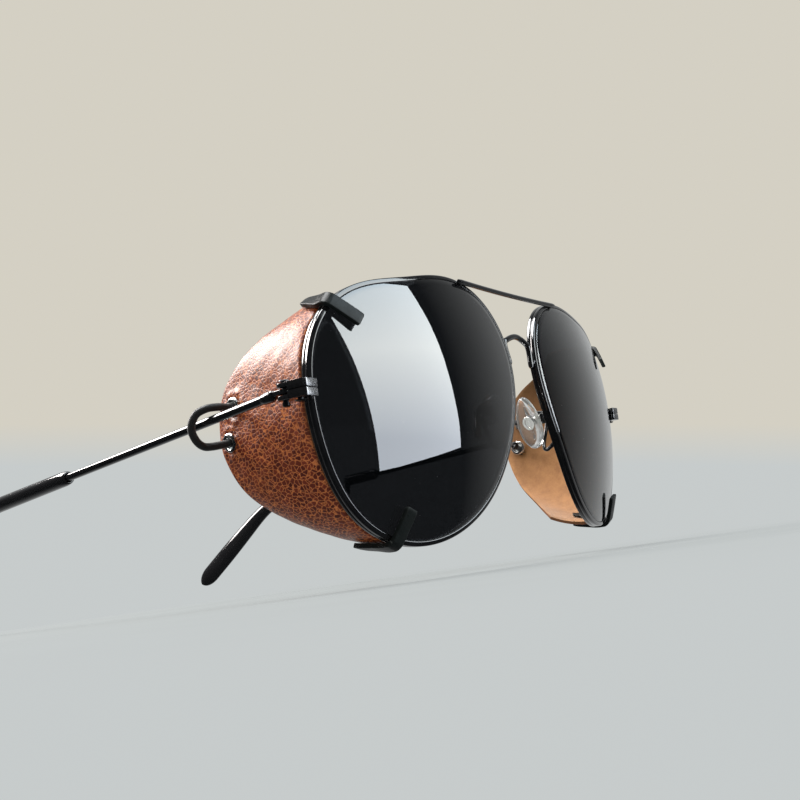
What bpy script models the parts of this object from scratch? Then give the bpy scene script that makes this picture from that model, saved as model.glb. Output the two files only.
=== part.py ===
"""Glacier glasses: a wire sunglasses frame with removable leather side shields.

Units in the functions are millimetres; every object is made in metres, +Z up.
The wearer's left side is at +X, the lenses face -Y and the temples run back along +Y.
The glasses stand on their lower rims and clips and on the temple tips.
"""
from math import atan2, cos, pi, radians, sin

import bmesh
import bpy
from mathutils import Matrix, Vector

MM = 0.001
SIDES = {"right": -1, "left": 1}
GAP = 0.3                    # clearance between pieces that touch on the real object

# The design's own origin is on the midline at the lens centres' height, with the fronts
# of the lenses upright. At rest the lower rims and the temple tips stand on the ground,
# which leans the whole frame forward by REST_LEAN.
REST_LEAN = radians(1.83)
REST_HEIGHT = 29.04
CENTRE_DEPTH = -77.45

# Lenses and rims
LENS_MEAN_RADIUS = 27.5
LENS_HARMONICS = ((2, 0.86, -1.92), (3, 0.06, 1.60), (4, -0.65, 0.09))
LENS_CENTRE_X = 36.1         # half the distance between the lens centres
LENS_WRAP = radians(10.7)    # each lens turns back towards its temple
LENS_CURVE = 90.0            # radius of the spherical front
LENS_THICK = 1.8
RIM_HALF_DEPTH = 0.95
RIM_OUTER = 0.95             # rim's outside, measured outwards from the lens edge
RIM_LIP = -0.05
RIM_GROOVE = 0.6
RIM_BEVEL = 0.3              # corners of the rim section
LENS_EDGE = RIM_LIP - 0.35   # lens edge beside its bevel
RIM_STATIONS = 60

# Brow bar and bridge wires
BROW_RADIUS = 0.55
BROW_HALF_LENGTH = 21.5
BROW_Z = 25.7
BRIDGE_RADIUS = 0.65
BRIDGE_TOP_Z = 15.7

# Hinge: a vertical screw through two front knuckles and the temple's tongue
HINGE_X = 65.4
HINGE_Y = 13.15
HINGE_Z = 1.6
KNUCKLE_RADIUS = 1.5
KNUCKLE_INSET = 0.01         # knuckles stop this far inside the block's ends
BLOCK_HALF_HEIGHT = 1.65
BLOCK_FRONT_Y = 7.1
BLOCK_BACK_Y = 11.4
BLOCK_X = (63.9, 66.9)
PLATE_INNER_X = 63.3
LOCK_SCREW_Y = 9.6
HOLE_RADIUS = 0.85
SCREW_SHANK = 0.55
TONGUE_HALF_HEIGHT = 0.45
EYE_RADIUS = 1.35
BARREL_LENGTH = 3.3
BARREL_RADIUS = 1.1

# Temples
WIRE_RADIUS = 0.9
WIRE_START_Y = 18.8
TEMPLE_BEND_START = 100.0
TEMPLE_BEND_LENGTH = 22.0
TEMPLE_PITCH = (radians(-4.6), radians(-42.0))
TEMPLE_YAW = (radians(6.0), radians(20.0))
SLEEVE_START = 69.0
SLEEVE_BORE_END = 136.0
SLEEVE_END = 149.0
SLEEVE_RADIUS = 1.7
SLEEVE_SWELL = 0.15          # added over the first SLEEVE_SWELL_LENGTH
SLEEVE_SWELL_LENGTH = 30.0
SLEEVE_NOSE = 2.6            # length of the rounded front end
SLEEVE_NOSE_RADIUS = 1.32
SLEEVE_TAIL = 5.0            # length of the rounded back end
PADDLE_START = 104.0
PADDLE_LENGTH = 34.0
PADDLE_RISE = 0.95           # added to the half height over the paddle
PADDLE_THIN = 0.3

# Nose pads, each on a small U-shaped box that its screw crosses
PAD_BOX = (14.0, 3.4, -1.5)
PAD_FACING = (-0.90, 0.28, -0.33)
PAD_DOWN = (0.26, 0.08, -1.0)
PAD_HALF_LENGTH = 6.4
PAD_HALF_WIDTH = 3.6
PAD_HALF_THICK = 1.15
PAD_LIFT = 4.9
PAD_SCREW_LIFT = 1.5
PAD_HOLE_RADIUS = 0.75
BOX_HALF_WIDTH = 1.7
BOX_INNER = 1.15
BOX_FLOOR = 0.55
BOX_HEIGHT = 2.2
BOX_HALF_LENGTH = 1.25
PAD_SCREW_REACH = 2.5        # from the box's middle to the outside of the screw's head
PAD_SCREW_HEAD = 0.8
PAD_SCREW_SHANK = 0.42
PAD_SCREW_LENGTH = 4.3
INSERT_HALF_WIDTH = 0.8
INSERT_HALF_LENGTH = 0.85
INSERT_FOOT = 0.9
PLATE_HALF_WIDTH = 1.7
PLATE_LIFT = (2.9, 3.35)
ARM_RADIUS = 0.45
ARM_ROOT_ANGLE = radians(200)

# Leather side shields, their clips, eyelets and cord loops
LEATHER_THICK = 1.1
LEATHER_FRONT = 1.95         # leather's front edge, measured back from the lens's middle
SHIELD_ANGLES = (radians(46.5), radians(-73.0))
SHIELD_FREE_EDGE = (
    (51.2, 18.5, 19.4), (54.2, 21.5, 17.3), (56.1, 26.0, 15.0), (56.7, 32.0, 11.4),
    (56.8, 37.2, 5.8), (56.8, 39.0, -1.5), (56.4, 38.0, -8.2), (54.4, 34.4, -15.1),
    (49.6, 27.2, -21.1), (41.4, 19.4, -25.3))
SHIELD_BOW = 0.8
CLIPS = {"upper": radians(40.0), "lower": radians(-66.8)}
CLIP_HALF_WIDTH = 1.45
CLIP_THICK = 1.0
CLIP_FRONT = -1.8            # middle of the strip where it crosses the rim's front
CLIP_STANDOFF = 1.8          # middle of the strip, outwards from the lens edge
CLIP_BEND = 1.2              # radius of the strip's turn over the rim
CLIP_TAB = 5.4               # how far the tab reaches in from the lens edge
CLIP_TAIL = ((0.16, 1.0), (0.32, 0.85), (0.44, 0.6))   # shares back, and of the width
LEAF_TAIL = ((0.04, 1.0), (0.3, 0.9), (0.44, 0.6))
LEAF_THICK = 0.5
EYELETS = {"upper": (0.47, 0.82), "lower": (0.58, 0.86)}   # shares down and back
EYELET_BORE = 1.12
EYELET_BARREL = 1.4
EYELET_FLANGE = 2.05
CORD_RADIUS = 0.8
CORD_INSIDE = -2.1           # ends of the cord, inwards from the leather's middle
CORD_OUTSIDE = 2.0
CORD_ROUND_TEMPLE = (
    (62.2, 34.1, 2.6), (64.3, 35.1, 2.3), (65.8, 36.5, 1.2), (66.3, 37.4, -1.2),
    (65.5, 37.3, -3.5), (64.0, 36.9, -4.8), (62.2, 36.3, -4.9))
KNOT_RADIUS = 1.3

BLACK = (0.012, 0.012, 0.013, 1.0)
SMOKE = (0.010, 0.011, 0.012, 1.0)
CLEAR = (0.80, 0.82, 0.80, 1.0)
STEEL = (0.55, 0.55, 0.56, 1.0)
BROWN = (0.16, 0.045, 0.018, 1.0)


# ---------------------------------------------------------------- placing and meshing

def heading(side, direction):
    """World direction of a design direction, leaned forward as the glasses stand."""
    x, y, z = direction
    return Vector((side * x, y * cos(REST_LEAN) - z * sin(REST_LEAN),
                   y * sin(REST_LEAN) + z * cos(REST_LEAN)))


def world(side, point):
    """World position in metres of a design point; side -1 mirrors it to the right."""
    return (heading(side, point) + Vector((0, CENTRE_DEPTH, REST_HEIGHT))) * MM


def outline_radius(angle):
    """Lens edge, measured from the lens centre; angle 0 points at the temple."""
    radius = LENS_MEAN_RADIUS
    for order, cosine, sine in LENS_HARMONICS:
        radius += cosine * cos(order * angle) + sine * sin(order * angle)
    return radius


def on_lens(across, up, depth):
    """Design point from lens coordinates: across and up its face, depth behind it."""
    back = (across * across + up * up) / (2 * LENS_CURVE) + depth
    x = LENS_CENTRE_X + across * cos(LENS_WRAP) - back * sin(LENS_WRAP)
    y = across * sin(LENS_WRAP) + back * cos(LENS_WRAP)
    return Vector((x, y, up))


def on_rim(angle, out, depth):
    """Design point beside the lens edge: out of the outline and depth behind it."""
    radius = outline_radius(angle) + out
    return on_lens(radius * cos(angle), radius * sin(angle), depth)


def smooth_curve(points, steps):
    """Catmull-Rom curve through the points, with steps pieces between each two."""
    points = [Vector(point) for point in points]
    ends = [2 * points[0] - points[1]] + points + [2 * points[-1] - points[-2]]
    curve = []
    for p0, p1, p2, p3 in zip(ends, ends[1:], ends[2:], ends[3:]):
        for step in range(steps):
            t = step / steps
            curve.append(0.5 * (2 * p1 + (p2 - p0) * t + (2 * p0 - 5 * p1 + 4 * p2 - p3) * t * t
                                + (3 * p1 - p0 - 3 * p2 + p3) * t * t * t))
    curve.append(points[-1])
    return curve


def material(name, colour, roughness, metallic=0.0, transmission=0.0):
    mat = bpy.data.materials.new(name)
    mat.use_nodes = True
    mat.diffuse_color = colour
    shader = mat.node_tree.nodes["Principled BSDF"]
    shader.inputs["Base Color"].default_value = colour
    shader.inputs["Roughness"].default_value = roughness
    shader.inputs["Metallic"].default_value = metallic
    shader.inputs["Transmission Weight"].default_value = transmission
    return mat


def finish_mesh(name, bm, origin=None):
    """Turn a bmesh in world metres into an object, with its origin where asked."""
    bmesh.ops.recalc_face_normals(bm, faces=bm.faces)
    origin = origin or Vector((0, 0, 0))
    bmesh.ops.translate(bm, verts=bm.verts, vec=-origin)
    mesh = bpy.data.meshes.new(name)
    bm.to_mesh(mesh)
    bm.free()
    obj = bpy.data.objects.new(name, mesh)
    obj.location = origin
    bpy.context.scene.collection.objects.link(obj)
    return obj


def loft(name, rings, closed=False, origin=None):
    """Skin over rings of points; closed joins the last ring to the first."""
    bm = bmesh.new()
    rows = [[bm.verts.new(point) for point in ring] for ring in rings]
    pairs = list(zip(rows, rows[1:]))
    if closed:
        pairs.append((rows[-1], rows[0]))
    else:
        bm.faces.new(rows[0])
        bm.faces.new(rows[-1])
    for row, following in pairs:
        for index in range(len(row)):
            after = (index + 1) % len(row)
            bm.faces.new((row[index], row[after], following[after], following[index]))
    return finish_mesh(name, bm, origin)


def ring_around(centre, axis_a, axis_b, radius_a, radius_b, count):
    return [centre + axis_a * radius_a * cos(2 * pi * k / count)
            + axis_b * radius_b * sin(2 * pi * k / count) for k in range(count)]


def turned(name, start, direction, profile, count=16, origin=None):
    """Solid of revolution: profile holds (distance along, radius), in mm."""
    direction = direction.normalized()
    across = direction.orthogonal().normalized()
    other = direction.cross(across)
    rings = [ring_around(start + direction * along * MM, across, other, radius * MM,
                         radius * MM, count) for along, radius in profile]
    return loft(name, rings, origin=origin)


def hollow_turned(name, start, direction, profile, count=16):
    """Ring-shaped solid of revolution: profile is a closed (along, radius) outline."""
    direction = direction.normalized()
    across = direction.orthogonal().normalized()
    other = direction.cross(across)
    rings = []
    for k in range(count):
        spoke = across * cos(2 * pi * k / count) + other * sin(2 * pi * k / count)
        rings.append([start + (direction * along + spoke * radius) * MM
                      for along, radius in profile])
    return loft(name, rings, closed=True)


def round_wire(name, points, radius, resolution=2):
    """Round wire along world points, with filled ends."""
    curve = bpy.data.curves.new(name, "CURVE")
    curve.dimensions = "3D"
    curve.bevel_depth = radius * MM
    curve.bevel_resolution = resolution
    curve.use_fill_caps = True
    spline = curve.splines.new("POLY")
    spline.points.add(len(points) - 1)
    for vertex, point in zip(spline.points, points):
        vertex.co = (*point, 1.0)
    obj = bpy.data.objects.new(name, curve)
    bpy.context.scene.collection.objects.link(obj)
    return obj


def prism(name, outline, low, high, side):
    """Upright solid over a plan outline of design (x, y) points."""
    rings = [[world(side, (x, y, z)) for x, y in outline] for z in (low, high)]
    return loft(name, rings)


def combine(obj, tools, operation):
    """Boolean the tools into an object and remove them."""
    for tool in tools:
        modifier = obj.modifiers.new("boolean", "BOOLEAN")
        modifier.operation = operation
        modifier.solver = "EXACT"
        modifier.object = tool
    bpy.context.view_layer.update()
    depsgraph = bpy.context.evaluated_depsgraph_get()
    mesh = bpy.data.meshes.new_from_object(obj.evaluated_get(depsgraph))
    obj.modifiers.clear()
    obj.data = mesh
    for tool in tools:
        bpy.data.objects.remove(tool)


def bore(obj, start, direction, length, radius, count=16):
    drill = turned("drill", start, direction, ((0, radius), (length, radius)), count)
    combine(obj, [drill], "DIFFERENCE")


def paint(obj, mat):
    obj.data.materials.clear()
    obj.data.materials.append(mat)


# ---------------------------------------------------------------- front

def make_rim(side_name, side):
    shoulder = RIM_OUTER - RIM_BEVEL
    face = RIM_HALF_DEPTH
    section = ((RIM_LIP, -face), (shoulder, -face), (RIM_OUTER, -face + RIM_BEVEL),
               (RIM_OUTER, face - RIM_BEVEL), (shoulder, face), (RIM_LIP, face),
               (RIM_LIP, face / 2), (RIM_GROOVE, 0.0), (RIM_LIP, -face / 2))
    rings = []
    for k in range(RIM_STATIONS):
        angle = 2 * pi * k / RIM_STATIONS
        rings.append([world(side, on_rim(angle, out, depth)) for out, depth in section])
    rim = loft("rim_" + side_name, rings, closed=True)
    paint(rim, material("rim_paint_" + side_name, BLACK, 0.25))


def make_lens(side_name, side):
    half = LENS_THICK / 2
    edge = LENS_EDGE
    foot = half * 0.4
    bevel = ((edge, -half), (edge, -foot), (RIM_LIP + GAP, 0.0), (edge, foot), (edge, half))
    bm = bmesh.new()
    rows = []
    front_hub = bm.verts.new(world(side, on_lens(0, 0, -half)))
    back_hub = bm.verts.new(world(side, on_lens(0, 0, half)))

    def face_row(share, depth):
        row = []
        for k in range(RIM_STATIONS):
            angle = 2 * pi * k / RIM_STATIONS
            radius = (outline_radius(angle) + edge) * share
            row.append(bm.verts.new(
                world(side, on_lens(radius * cos(angle), radius * sin(angle), depth))))
        return row

    rows.append(face_row(0.5, -half))
    for out, depth in bevel:
        rows.append([bm.verts.new(world(side, on_rim(2 * pi * k / RIM_STATIONS, out, depth)))
                     for k in range(RIM_STATIONS)])
    rows.append(face_row(0.5, half))
    for row, following in zip(rows, rows[1:]):
        for k in range(RIM_STATIONS):
            after = (k + 1) % RIM_STATIONS
            bm.faces.new((row[k], row[after], following[after], following[k]))
    for k in range(RIM_STATIONS):
        after = (k + 1) % RIM_STATIONS
        bm.faces.new((front_hub, rows[0][after], rows[0][k]))
        bm.faces.new((back_hub, rows[-1][k], rows[-1][after]))
    lens = finish_mesh("lens_" + side_name, bm)
    paint(lens, material("lens_tint_" + side_name, SMOKE, 0.02))


def rim_top(x):
    """Height and depth of the rim's upper outside edge at a design x."""
    best = min((on_rim(radians(a), RIM_OUTER, 0) for a in range(60, 175)),
               key=lambda point: abs(point.x - x))
    return best


def make_brow_bar():
    """Straight wire soldered across the fronts of the two rims, near their tops."""
    y = rim_top(BROW_HALF_LENGTH).y - RIM_HALF_DEPTH - GAP - BROW_RADIUS
    route = []
    for share in (-1.0, -0.6, -0.2, 0.2, 0.6, 1.0):
        sag = 0.3 * (share * share - 1.0)
        route.append((share * BROW_HALF_LENGTH, y, BROW_Z + sag))
    points = [world(1, point) for point in smooth_curve(route, 3)]
    bar = round_wire("brow_bar", points, BROW_RADIUS)
    paint(bar, material("brow_bar_paint", BLACK, 0.25))


def make_bridge():
    """Arched wire whose feet run down beside the two rims."""
    gap = RIM_OUTER + BRIDGE_RADIUS + GAP
    low = on_rim(radians(164), gap, 0.0)
    high = on_rim(radians(156), gap, 0.0)
    half = [(low.x, low.y, low.z), (high.x, high.y, high.z),
            (high.x * 0.72, high.y, BRIDGE_TOP_Z - 1.0)]
    route = half + [(0.0, high.y, BRIDGE_TOP_Z)] + [(-x, y, z) for x, y, z in reversed(half)]
    points = [world(1, point) for point in smooth_curve(route, 4)]
    bridge = round_wire("bridge", points, BRIDGE_RADIUS)
    paint(bridge, material("bridge_paint", BLACK, 0.25))


# ---------------------------------------------------------------- hinges

def knuckle_outline(radius):
    """Plan of a front knuckle: a half disc round the axis, joined to the block."""
    arc = [(HINGE_X + radius * cos(pi * k / 10), HINGE_Y + radius * sin(pi * k / 10))
           for k in range(11)]
    return [(HINGE_X - radius, BLOCK_BACK_Y - 0.5)] + arc[::-1] + [
        (HINGE_X + radius, BLOCK_BACK_Y - 0.5)]


def make_end_piece(side_name, side):
    """Rim lock block with a plate on the rim's front and two knuckles behind."""
    inner_x, outer_x = BLOCK_X
    plate_y = BLOCK_FRONT_Y + 0.9
    outline = ((PLATE_INNER_X, BLOCK_FRONT_Y), (outer_x - 0.6, BLOCK_FRONT_Y),
               (outer_x, BLOCK_FRONT_Y + 0.6), (outer_x, BLOCK_BACK_Y),
               (inner_x, BLOCK_BACK_Y), (inner_x, plate_y + 0.15), (PLATE_INNER_X, plate_y))
    low = HINGE_Z - BLOCK_HALF_HEIGHT
    high = HINGE_Z + BLOCK_HALF_HEIGHT
    block = prism("end_piece_" + side_name, outline, low, high, side)
    inner = TONGUE_HALF_HEIGHT + GAP
    plan = knuckle_outline(KNUCKLE_RADIUS)
    knuckles = [prism("knuckle", plan, HINGE_Z + inner, high - KNUCKLE_INSET, side),
                prism("knuckle", plan, low + KNUCKLE_INSET, HINGE_Z - inner, side)]
    combine(block, knuckles, "UNION")
    for y in (HINGE_Y, LOCK_SCREW_Y):
        foot = world(side, (HINGE_X, y, low - 1))
        bore(block, foot, heading(side, (0, 0, 1)), high - low + 2, HOLE_RADIUS)
    paint(block, material("end_piece_paint_" + side_name, BLACK, 0.25))


def make_hinge_screw(side_name, side):
    foot = -BLOCK_HALF_HEIGHT - GAP
    nut = SCREW_SHANK + 0.2
    head = 2 * SCREW_SHANK
    profile = ((foot - 0.8, SCREW_SHANK), (foot - 0.6, nut), (foot, nut), (foot, SCREW_SHANK),
               (-foot, SCREW_SHANK), (-foot, head), (-foot + 0.3, head - 0.15))
    start = world(side, (HINGE_X, HINGE_Y, HINGE_Z))
    screw = turned("hinge_screw_" + side_name, start, heading(side, (0, 0, 1)), profile)
    paint(screw, material("hinge_screw_steel_" + side_name, STEEL, 0.35, 1.0))


def make_lock_screw(side_name, side):
    foot = -BLOCK_HALF_HEIGHT - GAP
    head = 2 * SCREW_SHANK
    profile = ((foot - 0.35, head - 0.2), (foot, head), (foot, SCREW_SHANK),
               (BLOCK_HALF_HEIGHT - 0.2, SCREW_SHANK))
    start = world(side, (HINGE_X, LOCK_SCREW_Y, HINGE_Z))
    screw = turned("rim_lock_screw_" + side_name, start, heading(side, (0, 0, 1)), profile)
    paint(screw, material("lock_screw_steel_" + side_name, STEEL, 0.35, 1.0))


def temple_heading(along):
    """Unit heading of the temple after a length of wire, in design axes."""
    share = min(max((along - TEMPLE_BEND_START) / TEMPLE_BEND_LENGTH, 0.0), 1.0)
    share = share * share * (3 - 2 * share)
    pitch = TEMPLE_PITCH[0] + share * (TEMPLE_PITCH[1] - TEMPLE_PITCH[0])
    yaw = TEMPLE_YAW[0] + share * (TEMPLE_YAW[1] - TEMPLE_YAW[0])
    return Vector((-sin(yaw) * cos(pitch), cos(yaw) * cos(pitch), sin(pitch)))


def temple_point(along):
    """Design point on the temple's middle line after a length of wire."""
    start_z = HINGE_Z + (WIRE_START_Y - HINGE_Y) * TEMPLE_PITCH[0]
    point = Vector((HINGE_X, WIRE_START_Y, start_z))
    steps = max(int(abs(along) / 2.0), 1)
    for k in range(steps):
        point += temple_heading((k + 0.5) * along / steps) * along / steps
    return point


def temple_stations(start, end, spacing_straight, spacing_bend):
    stations = [start]
    while stations[-1] < end - 1e-6:
        straight = stations[-1] + spacing_straight <= TEMPLE_BEND_START
        stations.append(min(stations[-1] + (spacing_straight if straight else spacing_bend), end))
    return stations


def make_tongue(side_name, side, origin):
    """Temple's hinge leaf: an eye between the knuckles and a barrel on the wire's end."""
    eye = []
    for k in range(15):
        turn = -pi * 0.2 + 1.4 * pi * k / 14
        eye.append((HINGE_X + EYE_RADIUS * cos(pi - turn), HINGE_Y - EYE_RADIUS * sin(pi - turn)))
    neck = BARREL_RADIUS - 0.2
    barrel_y = WIRE_START_Y - BARREL_LENGTH
    eye.append((HINGE_X + neck, barrel_y + 1.05))
    eye.append((HINGE_X - neck, barrel_y + 1.05))
    tongue = prism("hinge_tongue_" + side_name, eye, HINGE_Z - TONGUE_HALF_HEIGHT,
                   HINGE_Z + TONGUE_HALF_HEIGHT, side)
    wire_end = temple_point(0)
    barrel_start = wire_end - temple_heading(0) * BARREL_LENGTH
    direction = world(side, wire_end) - world(side, barrel_start)
    barrel = turned("barrel", world(side, barrel_start), direction,
                    ((0, BARREL_RADIUS - 0.25), (0.4, BARREL_RADIUS),
                     (BARREL_LENGTH - 0.7, BARREL_RADIUS),
                     (BARREL_LENGTH - GAP, BARREL_RADIUS - 0.2)), 14)
    combine(tongue, [barrel], "UNION")
    hole_foot = world(side, (HINGE_X, HINGE_Y, HINGE_Z - 2))
    bore(tongue, hole_foot, heading(side, (0, 0, 1)), 4, HOLE_RADIUS)
    tongue.data.transform(Matrix.Translation(-origin))
    tongue.location = origin
    paint(tongue, material("tongue_paint_" + side_name, BLACK, 0.25))
    return tongue


def make_temple_wire(side_name, side):
    stations = temple_stations(0.0, SLEEVE_BORE_END - 0.6, 9.0, 3.5)
    points = [world(side, temple_point(along)) for along in stations]
    wire = round_wire("temple_wire_" + side_name, points, WIRE_RADIUS)
    paint(wire, material("temple_wire_paint_" + side_name, BLACK, 0.2))
    return wire


def sleeve_size(along):
    """Half height and half thickness of the sleeve after a length of wire."""
    nose = min((along - SLEEVE_START) / SLEEVE_NOSE, 1.0)
    nose = (1.0 - (1.0 - nose) ** 2) ** 0.5
    tail = min((SLEEVE_END - along) / SLEEVE_TAIL, 1.0)
    tail = (1.0 - (1.0 - tail) ** 2) ** 0.5
    flare = min(max((along - PADDLE_START) / PADDLE_LENGTH, 0.0), 1.0)
    flare = flare * flare * (3 - 2 * flare)
    radius = SLEEVE_RADIUS + min((along - SLEEVE_START) / SLEEVE_SWELL_LENGTH, 1.0) * SLEEVE_SWELL
    height = (radius + PADDLE_RISE * flare) * tail
    thick = (radius - PADDLE_THIN * flare) * (0.35 + 0.65 * tail)
    start = SLEEVE_NOSE_RADIUS
    return start + (height - start) * nose, start + (thick - start) * nose


def make_sleeve(side_name, side):
    """Plastic tip: a tube round the wire that widens into a flat paddle."""
    outer = [SLEEVE_START + SLEEVE_NOSE * share for share in (0.0, 0.1, 0.4, 1.0)]
    outer += temple_stations(SLEEVE_START + 10.0, SLEEVE_END - SLEEVE_TAIL, 9.0, 4.0)
    outer += [SLEEVE_END - SLEEVE_TAIL * share for share in (0.6, 0.3, 0.1, 0.02)]
    inner = temple_stations(SLEEVE_START, SLEEVE_BORE_END, 9.0, 4.0)[::-1]

    def ring(along, height, thick):
        centre = world(side, temple_point(along))
        forward = temple_heading(along)
        lateral = Vector((forward.y, -forward.x, 0.0)).normalized()
        upright = heading(side, forward.cross(lateral))
        return ring_around(centre, heading(side, lateral), upright, thick * MM, height * MM, 12)

    rings = [ring(along, WIRE_RADIUS + GAP, WIRE_RADIUS + GAP) for along in inner]
    for along in outer:
        rings.append(ring(along, *sleeve_size(along)))
    sleeve = loft("temple_sleeve_" + side_name, rings)
    paint(sleeve, material("temple_sleeve_plastic_" + side_name, BLACK, 0.12))
    return sleeve


# ---------------------------------------------------------------- nose pads

def pad_axes():
    """The pad box's axes: towards the nose, along the pad's length, along its screw."""
    facing = Vector(PAD_FACING).normalized()
    length = Vector(PAD_DOWN)
    length = (length - facing * length.dot(facing)).normalized()
    return facing, length, facing.cross(length)


def pad_point(lift, along, across):
    facing, length, screw = pad_axes()
    return Vector(PAD_BOX) + facing * lift + length * along + screw * across


def pad_block(name, outline, half_along, side, origin=None):
    """Solid with a (across, lift) outline, as long as the pad box along the pad."""
    rings = [[world(side, pad_point(lift, along, across)) for across, lift in outline]
             for along in (-half_along, half_along)]
    return loft(name, rings, origin=origin)


def pad_screw_line(side, across):
    start = world(side, pad_point(PAD_SCREW_LIFT, 0, across))
    end = world(side, pad_point(PAD_SCREW_LIFT, 0, 0))
    return start, end - start


def make_pad_arm(side_name, side):
    """U-shaped box on a bent wire that rises from behind the rim."""
    half = ((BOX_HALF_WIDTH, 0.0), (BOX_HALF_WIDTH, BOX_HEIGHT), (BOX_INNER, BOX_HEIGHT),
            (BOX_INNER, BOX_FLOOR))
    outline = half + tuple((-across, lift) for across, lift in reversed(half))
    box = pad_block("pad_arm_" + side_name, outline, BOX_HALF_LENGTH, side)
    root = on_rim(ARM_ROOT_ANGLE, 0.2, RIM_HALF_DEPTH + GAP + 0.1)
    route = [root, root + Vector((0.3, 1.8, -1.0)), root + Vector((1.3, 2.9, 0.4)),
             pad_point(-0.7, 2.2, 0.0), pad_point(0.3, 0.6, 0.0)]
    points = [world(side, point) for point in smooth_curve(route, 4)]
    sides = 8
    rings = []
    for k, point in enumerate(points):
        forward = points[min(k + 1, len(points) - 1)] - points[max(k - 1, 0)]
        across = forward.cross(Vector((1, 0.2, 0))).normalized()
        other = forward.cross(across).normalized()
        rings.append(ring_around(point, across, other, ARM_RADIUS * MM, ARM_RADIUS * MM, sides))
    arm = loft("arm", rings)
    combine(box, [arm], "UNION")
    start, direction = pad_screw_line(side, -PAD_SCREW_REACH)
    bore(box, start, direction, 2 * PAD_SCREW_REACH, PAD_HOLE_RADIUS, 12)
    paint(box, material("pad_arm_paint_" + side_name, BLACK, 0.25))


def make_pad_screw(side_name, side):
    start, direction = pad_screw_line(side, -PAD_SCREW_REACH)
    profile = ((0, PAD_SCREW_HEAD - 0.15), (0.15, PAD_SCREW_HEAD), (0.5, PAD_SCREW_HEAD),
               (0.5, PAD_SCREW_SHANK), (PAD_SCREW_LENGTH, PAD_SCREW_SHANK))
    screw = turned("pad_screw_" + side_name, start, direction, profile, 12)
    paint(screw, material("pad_screw_steel_" + side_name, STEEL, 0.35, 1.0))


def make_pad_insert(side_name, side, origin):
    """Metal tab between the box walls, with a plate that carries the pad."""
    under, top = PLATE_LIFT
    half = ((INSERT_HALF_WIDTH, INSERT_FOOT), (INSERT_HALF_WIDTH, under),
            (PLATE_HALF_WIDTH, under), (PLATE_HALF_WIDTH, top))
    outline = half + tuple((-across, lift) for across, lift in reversed(half))
    insert = pad_block("pad_insert_" + side_name, outline, INSERT_HALF_LENGTH, side)
    start, direction = pad_screw_line(side, -PAD_SCREW_REACH)
    bore(insert, start, direction, 2 * PAD_SCREW_REACH, PAD_SCREW_SHANK + GAP, 12)
    insert.data.transform(Matrix.Translation(-origin))
    insert.location = origin
    paint(insert, material("pad_insert_steel_" + side_name, STEEL, 0.3, 1.0))
    return insert


def make_nose_pad(side_name, side, origin):
    """Clear drop-shaped cushion, wider at its lower end."""
    rings = []
    layers = ((-1.0, 0.55), (-0.85, 0.82), (0.0, 1.0), (0.7, 0.86), (1.0, 0.5))
    for height, scale in layers:
        ring = []
        for k in range(20):
            turn = 2 * pi * k / 20
            width = PAD_HALF_WIDTH * (1.0 + 0.14 * cos(turn))
            along = PAD_HALF_LENGTH * scale * cos(turn)
            across = width * scale * sin(turn)
            lift = PAD_LIFT + PAD_HALF_THICK * height
            ring.append(world(side, pad_point(lift, along, across)))
        rings.append(ring)
    pad = loft("nose_pad_" + side_name, rings, origin=origin)
    paint(pad, material("nose_pad_clear_" + side_name, CLEAR, 0.15, 0.0, 0.8))
    return pad


# ---------------------------------------------------------------- side shields

def shield_point(share, reach, lift):
    """Design point on the leather: share along it from top to bottom, reach from the
    rim (0) to the free edge (1), and lift outwards from its middle."""
    angle = SHIELD_ANGLES[0] + share * (SHIELD_ANGLES[1] - SHIELD_ANGLES[0])
    front = on_rim(angle, 0.2, LEATHER_FRONT)
    edge = free_edge(share)
    outward = shield_outward(angle, share)
    bow = SHIELD_BOW * 4 * reach * (1 - reach) * min(abs(angle) / 0.5, 1.0)
    return front + (edge - front) * reach + outward * (lift + bow)


def free_edge(share):
    """Point of the leather's free edge; share 0 is its top corner and 1 its bottom one."""
    points = [Vector(point) for point in SHIELD_FREE_EDGE]
    ends = [2 * points[0] - points[1]] + points + [2 * points[-1] - points[-2]]
    place = min(share, 0.999999) * (len(points) - 1)
    index = int(place)
    t = place - index
    p0, p1, p2, p3 = ends[index:index + 4]
    return 0.5 * (2 * p1 + (p2 - p0) * t + (2 * p0 - 5 * p1 + 4 * p2 - p3) * t * t
                  + (3 * p1 - p0 - 3 * p2 + p3) * t * t * t)


def shield_outward(angle, share):
    """Unit normal of the leather, away from the wearer's head."""
    step = 0.01
    span = SHIELD_ANGLES[1] - SHIELD_ANGLES[0]
    before = max(share - step, 0.0)
    after = min(share + step, 1.0)
    mid_before = (on_rim(SHIELD_ANGLES[0] + before * span, 0.2, LEATHER_FRONT)
                  + free_edge(before))
    mid_after = (on_rim(SHIELD_ANGLES[0] + after * span, 0.2, LEATHER_FRONT)
                 + free_edge(after))
    across = free_edge(share) - on_rim(angle, 0.2, LEATHER_FRONT)
    normal = (mid_after - mid_before).cross(across).normalized()
    return normal if normal.dot(Vector((cos(angle), 0, sin(angle)))) > 0 else -normal


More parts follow.
